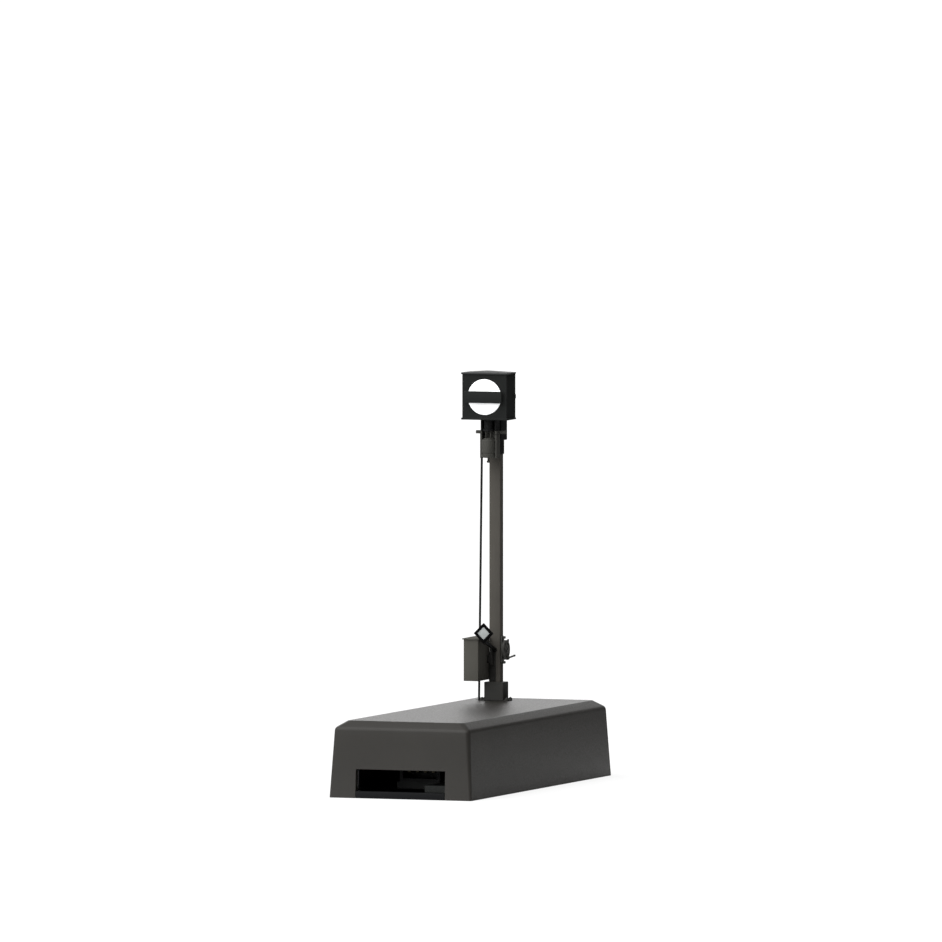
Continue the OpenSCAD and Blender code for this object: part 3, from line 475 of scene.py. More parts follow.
def pin(start: Sequence[float], length: float, radius: float, facing: Facing, edge: float = 0.04,
        count: int = 32) -> Surface:
    """A round pin with broken ends, from start along an axis."""
    profile = [(radius - i, d) for d, i in edge_profile(0.0, length, min(edge, radius * 0.8))]
    return lathe(profile, start, facing, count)


def tube(path: Array, radius: float, count: int = 16) -> Surface:
    """A round section carried along a path; each ring stands square to the mean of its two steps.

    Args:
        path: points of the middle line.
        radius: radius of the section.
        count: points round the section.

    Returns:
        The surface, capped at both ends.
    """
    path = np.asarray(path, float)
    ahead = np.gradient(path, axis=0)
    ahead /= np.linalg.norm(ahead, axis=1)[:, None]
    side = np.cross(ahead, [0.0, 1.0, 0.3])
    side /= np.linalg.norm(side, axis=1)[:, None]
    up = np.cross(side, ahead)
    angle = np.arange(count) * 2 * math.pi / count
    rings = [p + radius * (np.cos(angle)[:, None] * s + np.sin(angle)[:, None] * u)
             for p, s, u in zip(path, side, up)]
    return loft(rings)


def window_wall(outer: Array, inner: Array, front: float, back: float, facing: Facing,
                edge: float = 0.04) -> Surface:
    """A plate with a window: its section runs over the outer rim, the face, the window's rim and the back.

    Args:
        outer: outline of the plate.
        inner: outline of the window, with as many points.
        front: depth of the face.
        back: depth of the back.
        facing: which way the plate lies.
        edge: rounding of the rims.

    Returns:
        The closed surface.
    """
    middle = outer.mean(axis=0)
    rings = []
    for depth, inset in edge_profile(front, back, edge, 2):
        rings.append(laid(outer - unit_rows(outer - middle) * inset, depth, facing))
    hole_middle = inner.mean(axis=0)
    for depth, inset in edge_profile(back, front, edge, 2):
        rings.append(laid(inner + unit_rows(inner - hole_middle) * inset, depth, facing))
    return loft(rings, closed=True)


@dataclass(frozen=True)
class Box:
    """A CAD node's box in millimetres, from its low corner to its high one."""

    low: Array
    high: Array

    @classmethod
    def of(cls, node: str) -> "Box":
        """The box of a CAD node at rest."""
        low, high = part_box(node)
        return cls(np.array(low) / MM, np.array(high) / MM)

    @property
    def middle(self) -> Array:
        """The middle of the box."""
        return (self.low + self.high) / 2

    @property
    def size(self) -> Array:
        """The lengths of the box's sides."""
        return self.high - self.low


def make_piece(name: str, surface: Surface, paint: Paint, nodes: Iterable[str], body: str = FRAME_BODY,
               bevel: float = 0.0, crease: float = 32.0) -> bpy.types.Object:
    """Writes a surface into a mesh, dresses it and seats it on its body.

    Args:
        name: the piece's name.
        surface: its shape in millimetres.
        paint: its finish.
        nodes: CAD nodes that it stands for.
        body: the body that it rides on.
        bevel: width of a bevel on its sharp edges, in millimetres.
        crease: an edge sharper than this many degrees stays sharp.

    Returns:
        The object.
    """
    mesh = bpy.data.meshes.new(name)
    mesh.from_pydata((surface.points * MM).tolist(), [], surface.faces)
    work = bmesh.new()
    work.from_mesh(mesh)
    bmesh.ops.remove_doubles(work, verts=work.verts, dist=1e-7)
    bmesh.ops.recalc_face_normals(work, faces=work.faces)
    work.to_mesh(mesh)
    work.free()
    mesh.shade_smooth()
    mesh.set_sharp_from_angle(angle=math.radians(crease))
    piece = bpy.data.objects.new(name, mesh)
    bpy.context.scene.collection.objects.link(piece)
    mesh.materials.append(dressed(paint.value))
    if bevel > 0.0:
        soften = piece.modifiers.new("soft_edges", "BEVEL")
        soften.width = bevel * MM
        soften.segments = 2
        soften.limit_method = "ANGLE"
        soften.angle_limit = math.radians(crease)
        soften.harden_normals = True
    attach(piece, body)
    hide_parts(*nodes)
    LOG.info("%s stands for %s on %s", name, ", ".join(nodes), body)
    return piece


def dress_node(frame: dict, node: str, paint: Paint) -> None:
    """Gives a CAD node that stays its finish."""
    slots = frame["nodes"][node].data.materials
    slots.clear()
    slots.append(dressed(paint.value))
    LOG.info("%s keeps its CAD shape in %s", node, paint.value.name)


@dataclass
class MotorBase:
    """The drafted cover with its cable slot, and the plate whose lip closes the slot's foot.

    Args:
        shoulder: rounding where the walls meet the bevel round the deck.
        crown: rounding where that bevel meets the deck.
        corner: radius of the upright corners at the foot.
        corner_growth: how much that radius gains with each millimetre of height.
        wall: thickness of the cover.
        draft: slope of the walls in degrees.
        bevel_w: width of the bevel round the deck.
        bevel_h: height of the bevel round the deck.
        slot_half: half of the cable slot's width.
        slot_h: height of the cable slot.
    """

    shoulder: float = 0.40
    crown: float = 0.10
    corner: float = 0.42
    corner_growth: float = 0.033
    wall: float = 1.0
    draft: float = 3.0
    bevel_w: float = 1.5
    bevel_h: float = 1.05
    slot_half: float = 7.1
    slot_h: float = 4.32
    # Points of the outline before the front wall: three corners of nine points each
    SLOT_AT: ClassVar[int] = 27

    def section(self, height: float, steps: int = 8) -> Array:
        """Height and inset of the outer wall's line, from the foot to the deck's edge.

        The line is three straight stretches, and each of its two bends is a quadratic arc
        between points that lie the rounding's length to both sides of the bend.
        """
        slope = math.tan(math.radians(self.draft))
        bend_low = np.array([(height - self.bevel_h) * slope, height - self.bevel_h])
        bend_high = np.array([height * slope + self.bevel_w, height])
        foot, deck = np.array([0.0, 0.0]), bend_high + [1.5, 0.0]
        line = []
        for before, bend, after, reach in ((foot, bend_low, bend_high, self.shoulder),
                                           (bend_low, bend_high, deck, self.crown)):
            start = bend + (before - bend) / np.linalg.norm(before - bend) * reach
            end = bend + (after - bend) / np.linalg.norm(after - bend) * reach
            t = np.linspace(0.0, 1.0, steps + 1)[:, None]
            line.append((1 - t) ** 2 * start + 2 * t * (1 - t) * bend + t ** 2 * end)
        low_rows = [self.slot_h, 6.0, 8.0]
        lower = np.array([[0.0, 0.0]] + [[z * slope, z] for z in low_rows])
        return np.concatenate([lower, line[0], line[1], deck[None, :]])

    def wall_outline(self, half_w: float, half_l: float, corner: float) -> Array:
        """The cover's outline with extra points at the slot's two sides on the front wall."""
        outline = rounded_outline(half_w, half_l, corner, self.SLOT_AT // 3 - 1)
        front = np.array([[x, -half_l] for x in (-self.slot_half, self.slot_half)])
        return np.concatenate([outline[:self.SLOT_AT], front, outline[self.SLOT_AT:]])

    def cover_surface(self, box: Box) -> Surface:
        """The cover: an outer and an inner skin over one outline, open at the foot and the slot.

        Args:
            box: the cover's box.

        Returns:
            The closed shell.
        """
        half = box.size / 2
        outer = self.section(box.high[2])
        inner = self.section(box.high[2] - self.wall)
        skins = []
        for line, inset in ((outer, 0.0), (inner, self.wall)):
            rings = [laid(self.wall_outline(half[0] - inset - i, half[1] - inset - i,
                                            self.corner + self.corner_growth * z), z, Facing.Z) for i,
                                            z in line]
            skins.append(rings)
        count = len(skins[0][0])
        rows = len(skins[0])
        points = np.concatenate(skins[0] + skins[1])
        base = rows * count
        slot_at = self.SLOT_AT
        faces: list[tuple[int, ...]] = []
        for skin in (0, 1):
            shift = skin * base
            for row in range(rows - 1):
                for column in range(count):
                    if row == 0 and column == slot_at:
                        continue
                    beside = (column + 1) % count
                    faces.append((shift + row * count + column, shift + row * count + beside,
                                  shift + (row + 1) * count + beside, shift + (row + 1) * count + column))
            faces.append(tuple(shift + (rows - 1) * count + c for c in range(count)))
        for column in range(count):
            beside = (column + 1) % count
            if column == slot_at:
                faces.append((count + column, count + beside, base + count + beside, base + count + column))
            else:
                faces.append((column, beside, base + beside, base + column))
        for column in (slot_at, slot_at + 1):
            faces.append((column, count + column, base + count + column, base + column))
        return Surface(points, faces)

    def plate_surface(self, plate: Box) -> Surface:
        """The plate that closes the base, with the lip that fills the slot's foot."""
        half_w = (plate.high[0] - plate.low[0]) / 2
        lip = slab([-self.slot_half + 0.06, plate.low[1], 0.0],
                   [self.slot_half - 0.06, plate.low[1] + 6.0, plate.high[2]], 0.07)
        floor = slab([-half_w, plate.low[1] + 1.1, 0.0], [half_w, plate.high[1], plate.high[2]], 0.12, 0.6)
        return floor.joined(lip)

    def build(self) -> None:
        """Makes the cover and the plate."""
        cover, plate = Box.of("base_cover"), Box.of("base_plate")
        make_piece("base_cover_shell", self.cover_surface(cover), Paint.COVER, ["base_cover"], crease=40.0)
        make_piece("base_plate_floor", self.plate_surface(plate), Paint.PLATE, ["base_plate"])


@dataclass
class MastFoot:
    """The channel mast, its foot block with four nuts, and the push rod beside it.

    Args:
        wall: thickness of the channel.
        edge: rounding of the channel's two front edges.
        nut_radius: radius of the nuts over their corners.
        flange_h: thickness of the foot's flange.
        flange_reach: how far the flange stands out of each side of the block.
        rod_radius: radius of the push rod.
        rod_bend: how far before its corner the rod starts to bend.
    """

    wall: float = 0.35
    edge: float = 0.07
    nut_radius: float = 0.30
    flange_h: float = 0.15
    flange_reach: float = 0.75
    rod_radius: float = 0.17
    rod_bend: float = 0.42

    def channel(self, box: Box) -> Surface:
        """The mast: a channel outline, open to the rear, carried up the mast."""
        x0, y0 = box.low[:2]
        x1, y1 = box.high[:2]
        w, e = self.wall, self.edge
        outline = np.array([
            [x0, y0 + e], [x0 + e * 0.3, y0 + e * 0.3], [x0 + e, y0], [x1 - e, y0],
            [x1 - e * 0.3, y0 + e * 0.3], [x1, y0 + e], [x1, y1], [x1 - w, y1],
            [x1 - w, y0 + w], [x0 + w, y0 + w], [x0 + w, y1], [x0, y1]])
        rings = [laid(outline, z, Facing.Z) for z in (box.low[2], box.high[2])]
        return loft(rings)

    def foot(self, box: Box) -> Surface:
        """The foot block on its thin flange."""
        middle = box.middle
        half_w, half_d = box.size[0] / 2 - self.flange_reach, box.size[1] / 2
        flange = slab([box.low[0], middle[1] - half_d + 0.1, box.low[2]],
                      [box.high[0], middle[1] + half_d - 0.1, box.low[2] + self.flange_h], 0.05, 0.25)
        rings = []
        for depth, inset in edge_profile(box.low[2], box.high[2], 0.09):
            rings.append(laid(rounded_outline(half_w - inset, half_d - inset, 0.10, 5,
                                              (middle[0], middle[1])), depth, Facing.Z))
        return flange.joined(loft(rings))

    def nuts(self, nuts: Box) -> Surface:
        """Four hexagon nuts with chamfered tops, each on its domed stud."""
        parts = []
        flats = self.nut_radius
        for x in (nuts.low[0] + flats, nuts.high[0] - flats):
            for y in (nuts.low[1] + flats * 0.87, nuts.high[1] - flats * 0.87):
                base = nuts.low[2]
                rings = [laid(circle_outline(r, 6, (x, y)), base + h, Facing.Z)
                         for r, h in ((flats, 0.0), (flats, 0.20), (flats * 0.82, 0.25))]
                stud = lathe([(0.13, 0.0), (0.13, 0.31), (0.10, 0.35), (0.04, 0.37)], (x, y, base), count=20)
                washer = lathe([(0.33, 0.0), (0.33, 0.025), (0.31, 0.04)], (x, y, base), count=32)
                parts += [loft(rings), stud, washer]
        return parts[0].joined(*parts[1:])

    def rod(self, box: Box) -> Surface:
        """The push rod: up its leaning line, then round a bend into the pin that drives the crank."""
        radius, bend = self.rod_radius, self.rod_bend
        y = box.high[1] - radius
        foot = np.array([box.low[0] + radius, y, box.low[2]])
        head = np.array([box.high[0] - radius, y, box.high[2] - radius])
        up = (head - foot) / np.linalg.norm(head - foot)
        forward = np.array([0.0, -1.0, 0.0])
        t = np.linspace(0.0, 1.0, 9)[:, None]
        start, end = head - up * bend, head + forward * bend
        arc = (1 - t) ** 2 * start + 2 * t * (1 - t) * head + t ** 2 * end
        tip = np.array([[head[0], box.low[1], head[2]]])
        shaft = foot + (start - foot) * np.linspace(0.0, 1.0, 12)[:-1, None]
        return tube(np.concatenate([shaft, arc, tip]), radius, 20)

    def build(self) -> None:
        """Makes the mast, its foot, its nuts and the push rod."""
        mast, foot = Box.of("mast"), Box.of("mast_foot")
        make_piece("mast_channel", self.channel(mast), Paint.MAST, ["mast"], bevel=0.03)
        make_piece("mast_foot_block", self.foot(foot), Paint.FOOT, ["mast_foot"])
        make_piece("mast_foot_nuts", self.nuts(Box.of("foot_nuts")), Paint.FOOT, ["foot_nuts"], bevel=0.02)
        make_piece("push_rod_wire", self.rod(Box.of("push_rod")), Paint.WIRE, ["push_rod"], "push_rod")


@dataclass
class TelephoneBox:
    """The line-side telephone box, its hipped roof and the bracket that holds it to the mast.

    Args:
        roof_inset: how far the roof's outline is drawn in at its top.
        rail_t: thickness of the rail on the mast.
        ear_t: thickness of the ear that stands out of the rail.
    """

    roof_inset: float = 0.95
    rail_t: float = 0.15
    ear_t: float = 0.35

    def roof(self, roof: Box, body: Box) -> Surface:
        """A low hipped roof over a thin eave: a rounded outline drawn in as it rises."""
        half = (roof.size / 2)[:2]
        middle = roof.middle[:2]
        rise = roof.size[2]
        stations = ((-0.02, 0.06), (0.0, 0.0), (0.10, 0.0), (0.15, 0.05), (rise, self.roof_inset))
        rings = []
        for height, inset in stations:
            outline = rounded_outline(half[0] - inset, half[1] - inset * 0.5, 0.08, 4,
                                      (middle[0], middle[1] + inset * 0.5))
            rings.append(laid(outline, body.high[2] + height, Facing.Z))
        return loft(rings)

    def bracket(self, box: Box, mast: Box) -> Surface:
        """A rail on the mast's face, an ear that stands out of it and a web to the box; the bracket is real,
        and its dark rail reaching over the mast's face as far as the telephone box's shade is painted shade.
        """
        front = mast.low[1]
        ear_x = mast.middle[0] - 0.4
        # Painted shade: the rail runs to just past the mast's middle, where the shade cast by the box ends.
        rail = slab([box.low[0] + 0.04, front - self.rail_t, box.low[2]],
                    [mast.middle[0] + 0.2, front, box.high[2] - 0.55], 0.03)
        ear = slab([ear_x, front - 1.05, box.high[2] - 2.5], [ear_x + self.ear_t, front, box.high[2]], 0.05,
                   facing=Facing.X)
        web = slab([box.low[0], front - 0.8, box.high[2] - 2.2],
                   [ear_x + 0.05, front - 0.45, box.high[2] - 1.0], 0.04)
        return rail.joined(ear, web)

    def build(self) -> None:
        """Makes the box, its roof and its bracket."""
        body = Box.of("telephone_box")
        make_piece("telephone_case", slab(body.low, body.high, 0.06, 0.10, steps=4), Paint.BOX,
                   ["telephone_box"])
        make_piece("telephone_roof_cap", self.roof(Box.of("telephone_roof"), body), Paint.BOX,
                   ["telephone_roof"], bevel=0.02)
        make_piece("telephone_rail", self.bracket(Box.of("telephone_bracket"), Box.of("mast")),
                   Paint.RAIL, ["telephone_bracket"])


@dataclass
class DiamondSign:
    """The white diamond in its black frame, on a sloping arm from the mast."""

    edge: float = 0.05

    def build(self) -> None:
        """Makes the frame, the face and the arm."""
        frame_box, plate_box, arm_box = Box.of("sign_frame"), Box.of("sign_plate"), Box.of("sign_arm")
        centre = frame_box.middle
        half = frame_box.size[0] / 2 / math.sqrt(2)
        inner = plate_box.size[0] / 2 / math.sqrt(2)
        middle = (centre[0], centre[2])
        outer_line = rounded_outline(half, half, 0.04, 5, middle)
        inner_line = rounded_outline(inner + 0.02, inner + 0.02, 0.05, 5, middle)
        rim = window_wall(outer_line, inner_line, frame_box.low[1], frame_box.high[1], Facing.Y, self.edge)
        back = slab([centre[0] - inner - 0.1, frame_box.high[1] - 0.1, centre[2] - inner - 0.1],
                    [centre[0] + inner + 0.1, frame_box.high[1] - 0.005, centre[2] + inner + 0.1], 0.02,
                    facing=Facing.Y)
        make_piece("sign_border", rim.joined(back).turned(1, 45.0, centre), Paint.BORDER, ["sign_frame"])
        face = slab([centre[0] - inner, plate_box.low[1], centre[2] - inner],
                    [centre[0] + inner, plate_box.high[1], centre[2] + inner], 0.02, facing=Facing.Y)
        make_piece("sign_face", face.turned(1, 45.0, centre), Paint.SIGN, ["sign_plate"])
        half_t = arm_box.size[0] / 2
        low, high = arm_box.low, arm_box.high
        rings = []
        for y, z in ((high[1], low[2] + 0.25), (low[1], high[2] - 0.25)):
            outline = rounded_outline(half_t, 0.25, 0.07, 4, (arm_box.middle[0], z))
            rings.append(laid(outline, y, Facing.Y))
        make_piece("sign_arm_bar", loft(rings), Paint.BLACK, ["sign_arm"], bevel=0.02)


@dataclass
class WireWheel:
    """The spoked wheel of the signal wire with its plate, bolts, axle and pull arm.

    Args:
        spokes: number of spokes.
        radius: radius of the wheel.
        rim: width of the rim.
        hub_radius: radius of the hub.
        web: first and last depth of the thin web between the spokes.
        lug_x: depth at which the two lugs start.
        axle_radius: radius of the axle.
        arm_rise: angle of the pull arm above the level, in degrees.
        arm_length: length of the pull arm.
        bolt_radius: radius of the plate's bolts over their corners.
    """

    spokes: int = 6
    radius: float = 1.5
    rim: float = 0.34
    hub_radius: float = 0.55
    web: tuple[float, float] = (0.1, 0.2)
    lug_x: float = 0.18
    axle_radius: float = 0.25
    arm_rise: float = 4.0
    arm_length: float = 2.72
    bolt_radius: float = 0.21

    def wheel(self, box: Box, axle: Box) -> Surface:
        """A grooved rim, a hub, a thin web with flat spokes that narrow to the rim, and two lugs."""
        centre = np.array([box.low[0], axle.middle[1], axle.middle[2]])
        radius, thick = self.radius, box.size[0]
        groove = [(radius - self.rim, 0.0), (radius - 0.03, 0.0), (radius, 0.03), (radius - 0.10, thick * 0.42),
                  (radius - 0.10, thick * 0.58), (radius, thick - 0.03), (radius - 0.03, thick),
                  (radius - self.rim, thick)]
        parts = [ring_lathe(groove, centre, Facing.X, 72)]
        bore, out = self.axle_radius + 0.04, self.hub_radius
        hub = [(bore, 0.0), (out - 0.05, 0.0), (out, 0.05), (out, thick - 0.05), (out - 0.05, thick),
               (bore, thick)]
        parts.append(ring_lathe(hub, centre, Facing.X, 40))
        near, far = self.web
        web = [(0.4, near), (radius - 0.2, near), (radius - 0.2, far), (0.4, far)]
        parts.append(ring_lathe(web, centre, Facing.X, 72))
        for number in range(self.spokes):
            rings = []
            for reach, half_w in ((0.5, 0.16), (radius - self.rim + 0.05, 0.10)):
                outline = rounded_outline(thick / 2 - 0.06, half_w, 0.05, 3,
                                          (centre[0] + thick / 2, centre[1]))
                rings.append(laid(outline, centre[2] + reach, Facing.Z))
            parts.append(loft(rings).turned(0, number * 360.0 / self.spokes, centre))
        for along, up in ((0.37, 0.75), (0.30, -1.03)):
            corner = centre + np.array([self.lug_x, along * radius, up * radius])
            parts.append(slab(corner, corner + np.array([thick - self.lug_x, 0.5, 0.45]), 0.05))
        return parts[0].joined(*parts[1:])

    def arm(self, box: Box, axle: Box) -> Surface:
        """The pull arm: a flat bar that rises from a round boss, with a thicker tip."""
        boss = np.array([box.low[0], axle.middle[1] + self.radius * 0.26,
                         axle.middle[2] - self.radius * 0.8])
        thick = box.size[0]
        bar = slab(boss + [0.02, 0.0, -0.12], boss + [thick - 0.02, 2.5, 0.12], 0.05)
        tip = slab(boss + [0.0, 2.2, -0.14], boss + [thick, self.arm_length, 0.14], 0.06)
        flat = bar.joined(tip).turned(0, self.arm_rise, boss)
        return flat.joined(pin(boss, box.size[0], 0.25, Facing.X, 0.05, 28))

    def build(self) -> None:
        """Makes the wheel and everything that carries it."""
        plate, bolts, axle = Box.of("wheel_plate"), Box.of("wheel_bolts"), Box.of("wheel_axle")
        wheel, arm = Box.of("wire_wheel"), Box.of("pull_arm")
        make_piece("wheel_back_plate", slab(plate.low, plate.high, 0.05, 0.45, Facing.X, 4), Paint.WHEEL,
                   ["wheel_plate"])
        heads = []
        flat = self.bolt_radius
        for z in (bolts.low[2] + flat, bolts.high[2] - flat):
            rings = [laid(circle_outline(r, 6, (bolts.middle[1], z), math.pi / 6), bolts.low[0] + d,
                          Facing.X)
                     for r, d in ((flat, 0.0), (flat, 0.32), (flat * 0.8, 0.38))]
            heads.append(loft(rings))
        make_piece("wheel_bolt_heads", heads[0].joined(heads[1]), Paint.WHEEL, ["wheel_bolts"], bevel=0.02)
        shaft = pin((axle.low[0], axle.middle[1], axle.middle[2]), axle.size[0] - 0.18, self.axle_radius,
                    Facing.X)
        head = lathe([(0.36, 0.0), (0.40, 0.04), (0.40, 0.10), (0.30, 0.18), (0.10, 0.18)],
                     (axle.high[0] - 0.18, axle.middle[1], axle.middle[2]), Facing.X, 36)
        make_piece("wheel_axle_pin", shaft.joined(head), Paint.AXLE, ["wheel_axle"])
        make_piece("wire_wheel_rim", self.wheel(wheel, axle), Paint.WHEEL, ["wire_wheel"], "wire_wheel",
                   bevel=0.015)
        make_piece("pull_arm_bar", self.arm(arm, axle), Paint.WHEEL, ["pull_arm"], "wire_wheel")


@dataclass
class SignalHead:
    """The sleeve on the mast head, the drive cylinder in its bracket and the neck under the lantern.

    Args:
        wall: thickness of the bracket's cheeks.
        back_t: thickness of the bracket's back.
        collar_half: half of the collar's width and depth.
        collar_h: height of the collar under the sleeve.
        stem_h: height of the knob and stem under the barrel.
        rod_radius: radius of the two rods beside the cylinder.
        channel_wall: thickness of the neck channel's cheeks.
    """

    wall: float = 0.3
    back_t: float = 0.35
    collar_half: tuple[float, float] = (1.0, 0.835)
    collar_h: float = 2.1
    stem_h: float = 0.75
    rod_radius: float = 0.11
    channel_wall: float = 0.25

    def sleeve(self, box: Box) -> Surface:
        """The square sleeve above the thin collar that grips the mast."""
        middle = box.middle
        side = box.size[0] / 2
        step = box.low[2] + self.collar_h
        upper = slab([middle[0] - side, middle[1] - side, step], box.high, 0.07, 0.09)
        outline = rounded_outline(*self.collar_half, 0.12, 4, (middle[0], middle[1]))
        lower = loft([laid(outline, z, Facing.Z) for z in (box.low[2], step + 0.2)])
        return upper.joined(lower)

    def bracket(self, box: Box, bar: Box) -> Surface:
        """A channel round the cylinder with a pad back to the mast's sleeve."""
        back = bar.low[1] + 0.18
        low, high = box.low, box.high
        bottom, front = low[2], low[1]
        outline = np.array([
            [low[0], front], [low[0] + self.wall, front], [low[0] + self.wall, back],
            [high[0] - self.wall, back],
            [high[0] - self.wall, front], [high[0], front], [high[0], back + self.back_t],
            [low[0], back + self.back_t]])
        shell = loft([laid(outline, z, Facing.Z) for z in (bottom, bar.low[2] + 0.02)])
        cheeks = [slab([x, front, bar.low[2] - 0.1], [x + self.wall, back - 0.2, high[2]], 0.03)
                  for x in (low[0], high[0] - self.wall)]
        pad = slab([box.middle[0] - 0.5, back + 0.3, bottom + 0.6],
                   [box.middle[0] + 0.5, high[1], bottom + 2.3], 0.05)
        return shell.joined(*cheeks, pad)

    def cylinder(self, box: Box) -> Surface:
        """The drive cylinder: a knob and stem, the grooved barrel and a cap drawn in to its top."""
        r = box.size[0] / 2
        low = self.stem_h
        profile = [(0.10, 0.0), (0.20, 0.02), (0.25, 0.08), (0.25, 0.26), (0.20, 0.33), (0.15, 0.35),
                   (0.15, low),
                   (r * 0.62, low), (r - 0.08, low + 0.05), (r, low + 0.13), (r, low + 0.58),
                   (r - 0.07, low + 0.61),
                   (r - 0.07, low + 0.73), (r, low + 0.76), (r, low + 2.58), (r - 0.03, low + 2.67),
                   (r - 0.10, low + 2.74), (r * 0.80, low + 2.80), (r * 0.72, low + 2.86),
                   (r * 0.70, low + 2.95),
                   (r * 0.30, low + 2.95)]
        return lathe(profile, (box.middle[0], box.middle[1], box.low[2]), count=64)

    def build(self) -> None:
        """Makes the sleeve, bracket, cylinder, rods, cross bar, neck tube and neck channel."""
        sleeve, bar = Box.of("head_sleeve"), Box.of("cross_bar")
        # The sleeve's near-black paint is painted shade.
        make_piece("head_sleeve_socket", self.sleeve(sleeve), Paint.SLEEVE, ["head_sleeve"], bevel=0.02)
        make_piece("cylinder_cradle", self.bracket(Box.of("cylinder_bracket"), bar), Paint.HEAD,
                   ["cylinder_bracket"], bevel=0.03)
        make_piece("drive_cylinder_barrel", self.cylinder(Box.of("drive_cylinder")), Paint.HEAD,
                   ["drive_cylinder"])
        rods = Box.of("cylinder_rods")
        pair = [pin((x, rods.middle[1], rods.low[2]), rods.size[2], self.rod_radius, Facing.Z, 0.02, 20)
                for x in (rods.low[0] + self.rod_radius, rods.high[0] - self.rod_radius)]
        make_piece("cylinder_rod_pair", pair[0].joined(pair[1]), Paint.HEAD, ["cylinder_rods"])
        make_piece("cross_bar_beam", slab(bar.low, bar.high, 0.07, 0.08, Facing.X), Paint.HEAD,
                   ["cross_bar"])
        neck = Box.of("neck_tube")
        radius = neck.size[0] / 2 - 0.15
        profile = [(radius + 0.1, 0.0), (radius + 0.15, 0.04), (radius + 0.15, 0.24), (radius + 0.08, 0.3),
                   (radius, 0.32),
                   (radius, neck.size[2])]
        # The neck pipe's near-black paint is painted shade.
        make_piece("neck_pipe", lathe(profile, (neck.middle[0], neck.middle[1], neck.low[2])), Paint.NECK,
                   ["neck_tube"])
        channel = Box.of("neck_channel")
        low, high, t = channel.low, channel.high, self.channel_wall
        outline = np.array([
            [low[0], low[1]], [low[0] + t, low[1]], [low[0] + t, high[1] - 0.35],
            [high[0] - t, high[1] - 0.35],
            [high[0] - t, low[1]], [high[0], low[1]], [high[0], high[1]], [low[0], high[1]]])
        neck_shell = loft([laid(outline, z, Facing.Z) for z in (low[2], high[2])])
        make_piece("neck_channel_shell", neck_shell, Paint.BLACK, ["neck_channel"], bevel=0.02)


